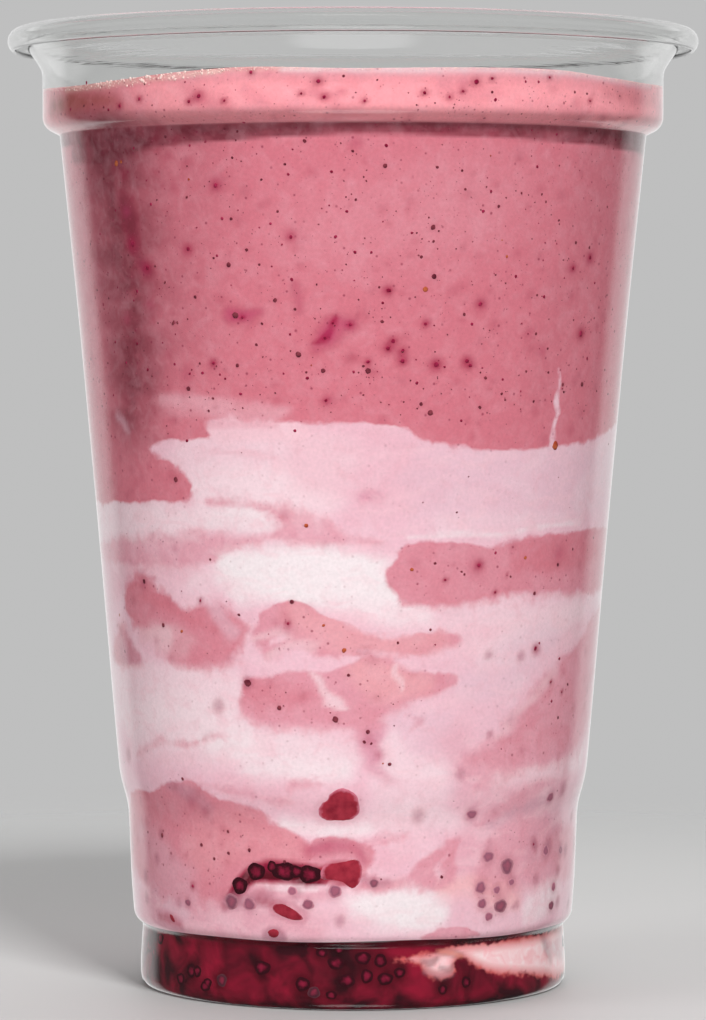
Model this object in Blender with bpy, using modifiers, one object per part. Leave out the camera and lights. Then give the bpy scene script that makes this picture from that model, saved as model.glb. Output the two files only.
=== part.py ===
"""A berry smoothie in its clear plastic cup.

The cup is one thin shell, turned from a single profile: a recessed foot, a base ring, a lower
ring, a slightly bowed tapered wall, a wide collar and a rolled lip. The drink stands in it in
three layers that meet in wavy surfaces: dark berry compote, pale yogurt and pink smoothie.
Tongues of smoothie run through the yogurt where it shows at the wall, and a pocket of cream
sits in the compote.

Metres, +Z up. The origin is the centre of the foot, on the surface that the cup stands on.
Angles round the cup are in degrees from its front, which faces -Y, and grow towards +X.
"""

import math

import bmesh
import bpy
import numpy as np
from mathutils import Vector

MM = 0.001

# Driving sizes of the cup, in millimetres
CUP_HEIGHT = 136.0
LIP_RADIUS = 49.0
COLLAR_RADIUS = 44.3
SHOULDER_RADIUS = 41.9
WAIST_RADIUS = 33.6
LOWER_RING_RADIUS = 31.9
BASE_RING_RADIUS = 30.5
WALL = 0.5
WALL_BOW = 0.32  # how far the tapered wall hangs inside a straight line, half way up

# Heights of the cup's steps
BASE_RING_TOP = 8.5
LOWER_RING_FOOT = 10.2
LOWER_RING_TOP = 25.7
WAIST = 30.5
SHOULDER_FOOT = 121.2
COLLAR_FOOT = 123.6
COLLAR_TOP = 130.4

FOOT_CORNER = 1.8
FOOT_RING_INNER = 26.2
PANEL_RADIUS = 25.0
PANEL_RISE = 2.0
LEDGE_RADIUS = COLLAR_RADIUS + 1.1
LEDGE_HEIGHT = 132.4

# Levels of the drink
DRINK_FLOOR = PANEL_RISE + 0.8
COMPOTE_TOP = 9.5
YOGURT_TOP = 78.0
DRINK_TOP = 128.0
GAP = 0.3  # clearance kept between any two solids

# Heights between which tongues may lie in the yogurt, and cream in the compote
TONGUES_BAND = (11.5, 74.0)
CREAM_BAND = (3.0, 7.9)

SEGMENTS = 48

# Where the yogurt meets the smoothie at the wall: (angle, height), all round the cup
YOGURT_LINE = (
    (-180, 80.0),
    (-145, 75.0),
    (-105, 80.0),
    (-64, 70.0),
    (-42, 79.0),
    (-18, 81.0),
    (18, 78.5),
    (60, 78.0),
    (100, 81.0),
    (140, 76.0),
)

# Pink smoothie showing through the yogurt: stations of (angle, height, half thickness)
SMOOTHIE_TONGUES = {
    "smoothie_tongue_upper_right": ((12, 60.5, 3.2), (32, 60.6, 3.7), (56, 60.8, 3.4), (72, 61.0, 2.2)),
    "smoothie_tongue_upper_left": ((-76, 50.0, 1.6), (-58, 53.6, 4.0), (-42, 52.6, 3.4), (-29, 52.4, 2.2)),
    "smoothie_tongue_centre": ((-20, 53.2, 2.0), (-12, 53.2, 2.6), (0, 51.2, 1.6), (22, 51.0, 1.0)),
    "smoothie_tongue_middle": ((-26, 42.6, 1.8), (-14, 43.2, 3.6), (2, 43.6, 3.6), (20, 45.0, 1.4)),
    "smoothie_tongue_right": ((32, 36.4, 1.2), (45, 39.0, 4.0), (58, 42.0, 5.0), (76, 46.0, 3.4)),
    "smoothie_tongue_lower_left": ((-72, 22.0, 3.0), (-56, 22.4, 5.6), (-40, 22.8, 6.2), (-16, 21.0, 2.2)),
    "smoothie_tongue_back_upper": ((112, 58.0, 2.0), (135, 61.0, 4.0), (160, 60.0, 4.2), (190, 63.0, 1.6)),
    "smoothie_tongue_back_middle": ((-160, 44.0, 1.6), (-140, 42.0, 3.8), (-118, 43.6, 4.4), (-98, 47.0, 1.8)),
    "smoothie_tongue_back_lower": ((116, 24.0, 2.0), (136, 27.0, 4.6), (158, 25.0, 5.4), (186, 21.0, 2.4)),
}

# Cream lying against the wall in the compote
CREAM_POCKET = ((34, 5.6, 1.4), (48, 5.4, 1.9), (62, 5.4, 2.0), (76, 5.6, 1.5))

CUP_COLOUR = (0.86, 0.87, 0.86)
SMOOTHIE_COLOUR = (0.66, 0.20, 0.25)
YOGURT_COLOUR = (0.88, 0.66, 0.71)
COMPOTE_COLOUR = (0.13, 0.008, 0.015)
CREAM_COLOUR = (0.84, 0.48, 0.50)


def arc(centre_r, centre_z, radius, start, end, steps):
    """Points of a round stretch of a profile. Angles are in degrees from +r towards +z."""
    turns = np.radians(np.linspace(start, end, steps + 1))
    return [(centre_r + radius * math.cos(t), centre_z + radius * math.sin(t)) for t in turns]


def taper_radius(z):
    """Outer radius of the bowed wall between the waist and the shoulder."""
    share = (z - WAIST) / (SHOULDER_FOOT - WAIST)
    straight = WAIST_RADIUS + (SHOULDER_RADIUS - WAIST_RADIUS) * share
    return straight - 4 * WALL_BOW * share * (1 - share)


def wall_profile():
    """Outer side of the cup from the foot ring to the top of the collar, as (radius, height)."""
    corner_r = BASE_RING_RADIUS - FOOT_CORNER
    tapers = np.linspace(WAIST, SHOULDER_FOOT, 5)
    return [
        *arc(corner_r, FOOT_CORNER, FOOT_CORNER, -90, 0, 3),
        (BASE_RING_RADIUS - 0.3, BASE_RING_TOP),
        (LOWER_RING_RADIUS - 0.55, LOWER_RING_FOOT - 0.35),
        (LOWER_RING_RADIUS - 0.3, LOWER_RING_FOOT + 0.6),
        (LOWER_RING_RADIUS + 0.35, LOWER_RING_TOP),
        *[(taper_radius(z), z) for z in tapers],
        (COLLAR_RADIUS - 0.45, COLLAR_FOOT - 0.95),
        (COLLAR_RADIUS - 0.05, COLLAR_FOOT),
        (COLLAR_RADIUS, COLLAR_TOP),
    ]


def outer_radius(z):
    radii, heights = zip(*wall_profile())
    return float(np.interp(z, heights, radii))


def inset_radius(z, inset):
    """Radius at height z of the surface that lies inset millimetres inside the cup's outer side."""
    reach = np.linspace(-inset, inset, 17)
    return min(outer_radius(z + d) - math.sqrt(max(inset**2 - d**2, 0)) for d in reach)


def drink_radius(z):
    return inset_radius(z, WALL + GAP)


def side_heights(low, high, most_off=0.06):
    """Heights from low to high between which the drink's side is straight to within most_off."""
    heights = np.linspace(low, high, 41)
    radii = np.array([drink_radius(z) for z in heights])
    off = np.abs(radii - np.interp(heights, [low, high], [radii[0], radii[-1]]))
    if off.max() < most_off:
        return [low, high]
    bend = float(heights[off.argmax()])
    return side_heights(low, bend)[:-1] + side_heights(bend, high)


def round_line(angle, stations):
    """Smooth height at an angle, from stations that go round the cup once."""
    angle = (angle + 180) % 360 - 180
    closed = [*stations, (stations[0][0] + 360, stations[0][1])]
    for (a, low), (b, high) in zip(closed, closed[1:]):
        if a <= angle <= b:
            share = (angle - a) / (b - a)
            return low + (high - low) * (1 - math.cos(math.pi * share)) / 2
    return stations[0][1]


def yogurt_top(angle, share):
    """Height of the yogurt's top at a share of the way from the axis to the wall."""
    mean = sum(z for _, z in YOGURT_LINE) / len(YOGURT_LINE)
    return mean + (round_line(angle, YOGURT_LINE) - mean) * share


def compote_top(angle, share):
    return COMPOTE_TOP + 0.9 * math.sin(math.radians(2 * angle + 40)) * share * (1 - share) * 4


def drink_top(angle, share):
    """The poured surface: low waves, and a lift where it wets the wall."""
    waves = 0.35 * math.sin(math.radians(2 * angle + 70)) + 0.2 * math.sin(math.radians(5 * angle))
    return DRINK_TOP + waves * share + 0.35 * share**8 - 0.25 * (1 - share)


def clear_scene():
    for obj in list(bpy.data.objects):
        bpy.data.objects.remove(obj)


def collection(name):
    made = bpy.data.collections.new(name)
    bpy.context.scene.collection.children.link(made)
    return made


def material(name, colour, roughness, transmission=0.0, alpha=1.0):
    made = bpy.data.materials.new(name)
    made.use_nodes = True
    shader = made.node_tree.nodes["Principled BSDF"]
    shader.inputs["Base Color"].default_value = (*colour, 1)
    shader.inputs["Roughness"].default_value = roughness
    shader.inputs["Metallic"].default_value = 0
    shader.inputs["Transmission Weight"].default_value = transmission
    shader.inputs["Alpha"].default_value = alpha
    made.diffuse_color = (*colour, alpha)
    return made


def add_object(name, mesh, group, look=None):
    obj = bpy.data.objects.new(name, mesh)
    group.objects.link(obj)
    if look:
        mesh.materials.append(look)
    return obj


def as_helper(obj):
    obj.hide_render = True
    obj.display_type = "WIRE"
    return obj


def smooth(mesh):
    mesh.shade_smooth()
    mesh.set_sharp_from_angle(angle=math.radians(40))


def lip_profile():
    """Middle of the wall through the rolled lip, from its tucked end over the top to the collar."""
    half = WALL / 2
    roll_radius = 1.55
    roll_r = LIP_RADIUS - roll_radius - half
    roll_z = CUP_HEIGHT - roll_radius - half
    return [
        (LEDGE_RADIUS + 1.1, LEDGE_HEIGHT + 0.65),
        *arc(roll_r, roll_z, roll_radius, -40, 125, 6),
        (LEDGE_RADIUS, LEDGE_HEIGHT + 1.4),
        (LEDGE_RADIUS - half, LEDGE_HEIGHT - 0.3),
        (COLLAR_RADIUS + 0.3 - half, COLLAR_TOP + 0.9),
    ]


def cup_profile():
    """Middle of the cup's wall, from the lip down to the centre of the base panel."""
    half = WALL / 2
    wall = [(r - half, z) for r, z in reversed(wall_profile()) if z > FOOT_CORNER]
    corner = arc(BASE_RING_RADIUS - FOOT_CORNER, FOOT_CORNER, FOOT_CORNER - half, 0, -90, 3)
    foot = [(FOOT_RING_INNER, half), (PANEL_RADIUS, PANEL_RISE + half), (0, PANEL_RISE + half)]
    return [*lip_profile(), *wall, *corner, *foot]


def make_cup(group):
    bm = bmesh.new()
    points = [bm.verts.new((r * MM, 0, z * MM)) for r, z in cup_profile()]
    for a, b in zip(points, points[1:]):
        bm.edges.new((a, b))
    mesh = bpy.data.meshes.new("cup")
    bm.to_mesh(mesh)
    bm.free()
    cup = add_object("cup", mesh, group, material("clear_plastic", CUP_COLOUR, 0.06, 1.0, 0.35))

    turn = cup.modifiers.new("turn", "SCREW")
    turn.steps = SEGMENTS
    turn.render_steps = SEGMENTS
    turn.use_merge_vertices = True
    turn.merge_threshold = 0.00001
    turn.use_smooth_shade = True

    shell = cup.modifiers.new("wall", "SOLIDIFY")
    shell.thickness = WALL * MM
    shell.offset = 0
    shell.use_even_offset = True
    return cup


def layer_mesh(name, bottom, top, low, high, rings=4):
    """A turned layer of the drink. Its side follows the cup, and its ends, turned flat at the
    heights bottom and top, are moved on to the surfaces low and high, each a function of the
    angle and the share of the radius."""
    shares = np.linspace(0, 1, rings + 1)[:-1]
    profile = [
        *[(s * drink_radius(top), top, s, "high") for s in shares],
        *[(drink_radius(z), z, 1.0, "side") for z in reversed(side_heights(bottom, top))],
        *[(s * drink_radius(bottom), bottom, s, "low") for s in reversed(shares)],
    ]
    profile[rings] = (*profile[rings][:3], "high")
    profile[-rings - 1] = (*profile[-rings - 1][:3], "low")

    bm = bmesh.new()
    share_of = bm.verts.layers.float.new("share")
    end_of = bm.verts.layers.int.new("end")
    points = []
    for r, z, share, end in profile:
        point = bm.verts.new((0, -r * MM, z * MM))
        point[share_of] = share
        point[end_of] = {"low": -1, "side": 0, "high": 1}[end]
        points.append(point)
    for a, b in zip(points, points[1:]):
        bm.edges.new((a, b))
    bmesh.ops.spin(
        bm,
        geom=[*bm.verts, *bm.edges],
        axis=(0, 0, 1),
        cent=(0, 0, 0),
        angle=2 * math.pi,
        steps=SEGMENTS,
        use_merge=True,
    )
    bmesh.ops.remove_doubles(bm, verts=bm.verts, dist=0.00001)

    for point in bm.verts:
        if not point[end_of]:
            continue
        angle = math.degrees(math.atan2(point.co.x, -point.co.y))
        surface = high if point[end_of] > 0 else low
        z = surface(angle, point[share_of])
        point.co.z = z * MM
        r = drink_radius(z) * point[share_of] * MM
        flat = Vector((math.sin(math.radians(angle)), -math.cos(math.radians(angle)), 0)) * r
        point.co.xy = flat.xy
    bmesh.ops.recalc_face_normals(bm, faces=bm.faces)
    mesh = bpy.data.meshes.new(name)
    bm.to_mesh(mesh)
    bm.free()
    smooth(mesh)
    return mesh


def tongue_path(stations, steps=3):
    """A smooth run of (angle, height, half thickness) through the stations, narrow at both ends."""
    first, last = np.array(stations[0], float), np.array(stations[-1], float)
    fixed = [2 * first - stations[1], *map(np.array, stations), 2 * last - stations[-2]]
    run = []
    for before, a, b, after in zip(fixed, fixed[1:], fixed[2:], fixed[3:]):
        for t in np.arange(steps) / steps:
            run.append(
                0.5
                * (
                    2 * a
                    + (b - before) * t
                    + (2 * before - 5 * a + 4 * b - after) * t**2
                    + (3 * a - before - 3 * b + after) * t**3
                )
            )
    run.append(last)
    return run


def tube_along_wall(name, stations, grow, group):
    """A closed round tube whose middle lies on the drink's side. Its radius swells and narrows with
    the stations, and grow widens and lengthens it."""
    run = tongue_path(stations)
    length_per_degree = math.radians(1) * drink_radius(stations[0][1])
    nose = (run[0][2] + grow) / length_per_degree
    tail = (run[-1][2] + grow) / length_per_degree
    ends = (
        (run[0][0] - nose, run[0][1], run[0][2] * 0.35),
        (run[-1][0] + tail, run[-1][1], run[-1][2] * 0.35),
    )
    curve = bpy.data.curves.new(name, "CURVE")
    curve.dimensions = "3D"
    curve.bevel_depth = MM
    curve.bevel_resolution = 2
    curve.use_fill_caps = True
    stops = [ends[0], *run, ends[1]]
    spline = curve.splines.new("POLY")
    spline.points.add(len(stops) - 1)
    for point, (angle, z, half) in zip(spline.points, stops):
        r, turn = drink_radius(z), math.radians(angle)
        point.co = (r * math.sin(turn) * MM, -r * math.cos(turn) * MM, z * MM, 1)
        point.radius = half + grow
    tube = bpy.data.objects.new(name + "_curve", curve)
    group.objects.link(tube)
    bpy.context.view_layer.update()
    graph = bpy.context.evaluated_depsgraph_get()
    mesh = bpy.data.meshes.new_from_object(tube.evaluated_get(graph))
    mesh.name = name
    bpy.data.objects.remove(tube)

    bm = bmesh.new()
    bm.from_mesh(mesh)
    bmesh.ops.remove_doubles(bm, verts=bm.verts, dist=0.00001)
    bmesh.ops.recalc_face_normals(bm, faces=bm.faces)
    bm.to_mesh(mesh)
    bm.free()
    return add_object(name, mesh, group)


def boolean(obj, operation, other):
    cut = obj.modifiers.new(f"{operation.lower()} {other.name}", "BOOLEAN")
    cut.operation = operation
    cut.object = other
    cut.solver = "EXACT"


def embed(name, stations, host, envelope, look, group, helpers):
    """Lays a tongue of one layer in the side of another, flush with it and a gap clear of it."""
    tongue = tube_along_wall(name, stations, 0, group)
    tongue.data.materials.append(look)
    boolean(tongue, "INTERSECT", envelope)
    pocket = as_helper(tube_along_wall(name + "_pocket", stations, GAP, helpers))
    boolean(host, "DIFFERENCE", pocket)


def flat_band(name, band, group):
    """The stretch of the cup's inside between two heights, to which a tongue is trimmed."""
    low, high = band
    mesh = layer_mesh(name, low, high, lambda angle, share: low, lambda angle, share: high, rings=1)
    return as_helper(add_object(name, mesh, group))


def make_drink(group, helpers):
    smoothie_look = material("smoothie", SMOOTHIE_COLOUR, 0.35)
    yogurt_look = material("yogurt", YOGURT_COLOUR, 0.35)
    compote_look = material("compote", COMPOTE_COLOUR, 0.2)
    cream_look = material("cream", CREAM_COLOUR, 0.35)

    def floor(angle, share):
        return DRINK_FLOOR

    def yogurt_foot(angle, share):
        return compote_top(angle, share) + GAP

    def smoothie_foot(angle, share):
        return yogurt_top(angle, share) + GAP

    compote_mesh = layer_mesh("compote", DRINK_FLOOR, COMPOTE_TOP, floor, compote_top)
    yogurt_mesh = layer_mesh("yogurt", COMPOTE_TOP + GAP, YOGURT_TOP, yogurt_foot, yogurt_top)
    smoothie_mesh = layer_mesh("smoothie", YOGURT_TOP + GAP, DRINK_TOP, smoothie_foot, drink_top)
    compote = add_object("compote", compote_mesh, group, compote_look)
    yogurt = add_object("yogurt", yogurt_mesh, group, yogurt_look)
    add_object("smoothie", smoothie_mesh, group, smoothie_look)

    tongues_band = flat_band("tongues_band", TONGUES_BAND, helpers)
    for name, stations in SMOOTHIE_TONGUES.items():
        embed(name, stations, yogurt, tongues_band, smoothie_look, group, helpers)
    cream_band = flat_band("cream_band", CREAM_BAND, helpers)
    embed("cream_pocket", CREAM_POCKET, compote, cream_band, cream_look, group, helpers)


clear_scene()
parts = collection("berry_smoothie")
cutters = collection("cutters")
make_cup(parts)
make_drink(parts, cutters)
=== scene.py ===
"""A berry smoothie in its clear cup: the finishes and the fine shapes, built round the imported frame.

Metres, +Z up, as in the frame. Sizes are written in millimetres and turned to metres where a mesh
is made. Angles round the cup are in degrees from its front, which faces -Y, and grow towards +X.
"""

import math
import random

import bmesh
import bpy
import numpy as np
from mathutils import Matrix, Vector


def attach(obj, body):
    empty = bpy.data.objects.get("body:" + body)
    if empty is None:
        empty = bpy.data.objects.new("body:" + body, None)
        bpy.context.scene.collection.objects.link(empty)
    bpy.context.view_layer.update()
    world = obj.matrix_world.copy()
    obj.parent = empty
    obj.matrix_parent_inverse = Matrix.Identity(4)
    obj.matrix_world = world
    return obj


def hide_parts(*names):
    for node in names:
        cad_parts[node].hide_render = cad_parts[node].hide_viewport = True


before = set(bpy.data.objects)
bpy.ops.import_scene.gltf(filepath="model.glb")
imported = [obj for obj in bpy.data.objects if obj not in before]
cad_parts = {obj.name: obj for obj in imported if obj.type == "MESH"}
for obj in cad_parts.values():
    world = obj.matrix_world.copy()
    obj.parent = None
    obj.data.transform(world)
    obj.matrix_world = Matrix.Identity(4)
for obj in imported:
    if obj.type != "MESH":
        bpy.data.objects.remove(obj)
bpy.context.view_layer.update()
MM = 0.001


# The cup is one piece of clear plastic, drawn from a warm sheet over a plug: a recessed foot, a
# base ring, a lower ring, a long tapered wall, a collar and a lip that is rolled outwards. Its
# wall is half a millimetre thick, and drawing leaves faint level lines in it.

CUP_RADIUS = 49.0
CUP_HEIGHT = 136.0
LIP_ROLL = 1.5
WALL = 0.5
CUP_SEGMENTS = 192

# The cup's outer side from the foot ring to under the lip: (radius, height, rounding)
CUP_SIDE = (
    (26.4, 0, 0.3),
    (30.5, 0, 1.9),
    (30.55, 3, 2),
    (30.2, 8.7, 0.5),
    (31.45, 9.9, 0.7),
    (31.85, 15, 2),
    (32.25, 25.6, 1.6),
    (33.5, 30, 1.8),
    (34.3, 39, 4),
    (36.7, 67.5, 6),
    (39.35, 96.5, 6),
    (41.9, 121.4, 0.25),
    (43.7, 122.3, 0.5),
    (44.3, 123.2, 0.6),
    (44.3, 130.3, 0.9),
    (45.3, 132, 0.9),
    (46.4, 133.4, 0.7),
)
FOOT_PANEL_RADIUS = 25.0
FOOT_PANEL_RISE = 2.0


def arc(centre_r, centre_z, radius, start, end, steps):
    """Points of a round stretch of an outline. Angles are from +r towards +z."""
    turns = np.radians(np.linspace(start, end, steps + 1))
    return [(centre_r + radius * math.cos(t), centre_z + radius * math.sin(t)) for t in turns]


def rounded(corners, steps=5):
    """An open outline through the corners, each eased over its rounding on both sides."""
    line = [corners[0][:2]]
    for before, (r, z, ease), after in zip(corners, corners[1:], corners[2:]):
        corner = Vector((r, z))
        ways = [Vector(end[:2]) - corner for end in (before, after)]
        first, last = (corner + way.normalized() * min(ease, way.length * 0.49) for way in ways)
        for t in np.linspace(0, 1, steps):
            line.append(tuple(first * (1 - t) ** 2 + corner * 2 * t * (1 - t) + last * t**2))
    line.append(corners[-1][:2])
    return line


cup_side = rounded(CUP_SIDE)
side_radii = np.array([r for r, z in cup_side])
side_levels = np.array([z for r, z in cup_side]) + np.arange(len(cup_side)) * 1e-6
side_levels = np.maximum.accumulate(side_levels)


def inside_radius(levels, inset):
    """Radius of the surface that lies inset millimetres inside the cup's outer side."""
    levels = np.asarray(levels, float)
    radii = [
        np.interp(levels + d, side_levels, side_radii) - math.sqrt(max(inset**2 - d**2, 0))
        for d in np.linspace(-inset, inset, 15)
    ]
    return np.min(radii, axis=0)


def turned(outline, columns):
    """A bmesh turned round the cup's axis from points of (radius, height) in millimetres: a grid,
    wrapped round and joined along its seam and at its poles."""
    bm = bmesh.new()
    rows = len(outline) - 1
    bmesh.ops.create_grid(bm, x_segments=columns, y_segments=rows, size=0.5)
    for vert in bm.verts:
        turn = 2 * math.pi * round((vert.co.x + 0.5) * columns) / columns
        r, z = outline[round((vert.co.y + 0.5) * rows)]
        vert.co = (r * math.sin(turn) * MM, -r * math.cos(turn) * MM, z * MM)
    bmesh.ops.remove_doubles(bm, verts=bm.verts, dist=1e-7)
    bmesh.ops.recalc_face_normals(bm, faces=bm.faces)
    return bm


def piece(name, bm, material, sharp=50):
    """Makes the finished bmesh a smooth-shaded piece that rides with the cup."""
    mesh = bpy.data.meshes.new(name)
    bm.to_mesh(mesh)
    bm.free()
    mesh.shade_smooth()
    mesh.set_sharp_from_angle(angle=math.radians(sharp))
    mesh.materials.append(material)
    made = bpy.data.objects.new(name, mesh)
    bpy.context.scene.collection.objects.link(made)
    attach(made, "root")
    return made


def add(tree, kind, inputs=None, **settings):
    """A shader node with its settings and its inputs, each a value or another node's output."""
    made = tree.nodes.new("ShaderNode" + kind)
    for key, value in settings.items():
        setattr(made, key, value)
    for key, value in (inputs or {}).items():
        if isinstance(value, bpy.types.NodeSocket):
            tree.links.new(value, made.inputs[key])
        else:
            made.inputs[key].default_value = value
    return made


def maths(tree, operation, a, b=0.0, clamp=False):
    return add(tree, "Math", {0: a, 1: b}, operation=operation, use_clamp=clamp).outputs[0]


def blend(tree, share, a, b):
    """The colour a share of the way from a to b."""
    return add(tree, "Mix", {0: share, 6: a, 7: b}, data_type="RGBA").outputs[2]


def ramp(tree, value, low, high, start=0.0, end=1.0, smooth=False):
    """The value carried from the span low to high over to the span start to end, and kept in it."""
    span = {"Value": value, "From Min": low, "From Max": high, "To Min": start, "To Max": end}
    kind = "SMOOTHSTEP" if smooth else "LINEAR"
    return add(tree, "MapRange", span, interpolation_type=kind).outputs[0]


def grain(tree, size, stretch=(1, 1, 1), detail=2.0, distortion=0.0):
    """Noise from 0 to 1 whose lumps are about size millimetres, in the piece's own place."""
    place = add(tree, "TexCoord").outputs["Object"]
    drawn = add(tree, "Mapping", {"Vector": place, "Scale": stretch}).outputs[0]
    lumps = {"Vector": drawn, "Scale": 1 / (size * MM), "Detail": detail, "Distortion": distortion}
    return add(tree, "TexNoise", lumps).outputs["Fac"]


def start_material(name, roughness, specular=0.5):
    """A new material, its node tree, and its shader with how rough it is and how much it shines."""
    made = bpy.data.materials.new(name)
    made.use_nodes = True
    shader = made.node_tree.nodes["Principled BSDF"]
    shader.inputs["Roughness"].default_value = roughness
    shader.inputs["Specular IOR Level"].default_value = specular
    return made, made.node_tree, shader


def clear_plastic():
    """Clear glossy plastic that lets lamps through to what fills it."""
    made, tree, shader = start_material("clear_plastic", 0.035)
    shader.inputs["Base Color"].default_value = (0.965, 0.97, 0.965, 1)
    shader.inputs["IOR"].default_value = 1.45
    shader.inputs["Transmission Weight"].default_value = 1
    draw_lines = grain(tree, 30, stretch=(1, 1, 45), detail=3)
    bump = add(tree, "Bump", {"Height": draw_lines, "Strength": 0.03, "Distance": 0.0004})
    tree.links.new(bump.outputs[0], shader.inputs["Normal"])

    ray = add(tree, "LightPath").outputs
    passed = maths(tree, "MAXIMUM", ray["Is Shadow Ray"], ray["Is Diffuse Ray"])
    thin = add(tree, "BsdfTransparent", {"Color": (0.985, 0.985, 0.985, 1)})
    mixed = add(tree, "MixShader", {0: passed, 1: shader.outputs[0], 2: thin.outputs[0]})
    tree.links.new(mixed.outputs[0], tree.nodes["Material Output"].inputs["Surface"])
    return made


lip = arc(CUP_RADIUS - LIP_ROLL, CUP_HEIGHT - LIP_ROLL, LIP_ROLL, 150, -60, 12)
foot = [(r, FOOT_PANEL_RISE + WALL / 2) for r in (0, FOOT_PANEL_RADIUS)]
middle = [*foot, *[(r - WALL / 2, max(z, WALL / 2)) for r, z in cup_side], *lip]
cup_bm = turned(middle, CUP_SEGMENTS)
cup = piece("cup_shell", cup_bm, clear_plastic())
wall = cup.modifiers.new("wall", "SOLIDIFY")
wall.thickness = WALL * MM
wall.offset = 0
wall.use_even_offset = True
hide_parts("cup")


# The drink fills the cup in layers that were poured on each other: dark berry compote in the
# base ring, pale yogurt over it and pink smoothie on top, which has run down through the yogurt
# in tongues and wisps. Each layer wets the wall, so its side follows the wall's inside.

INTO_WALL = 0.3
DRINK_INSET = WALL - INTO_WALL
DRINK_FLOOR = FOOT_PANEL_RISE + WALL - INTO_WALL
COMPOTE_TOP = 9.6
DRINK_TOP = 128.1

# Along the drink's side a degree is about this long, as it is at the mean radius. No distance to
# an edge counts past FAR.
MEAN_RADIUS = 36.0
MM_PER_DEGREE = 0.63
FAR = 8.0

# Where the smoothie's underside meets the wall, all round: (angle, height)
SMOOTHIE_LINE = (
    (-180, 79), (-160, 76.5), (-135, 78), (-115, 75.5), (-98, 70), (-80, 68.6), (-66, 68.9), (-50, 69.4),
    (-42, 70), (-36.5, 71.5), (-33.5, 78), (-30.5, 81.6), (-25, 82), (-18, 81.4), (-8, 80.8), (2, 81),
    (9, 80.4), (14, 79), (20, 77.8), (30, 77.4), (42, 77.7), (60, 78.3), (72, 79.2), (90, 80.5),
    (110, 78), (130, 74.5), (150, 76), (165, 79.5),
)

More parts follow.
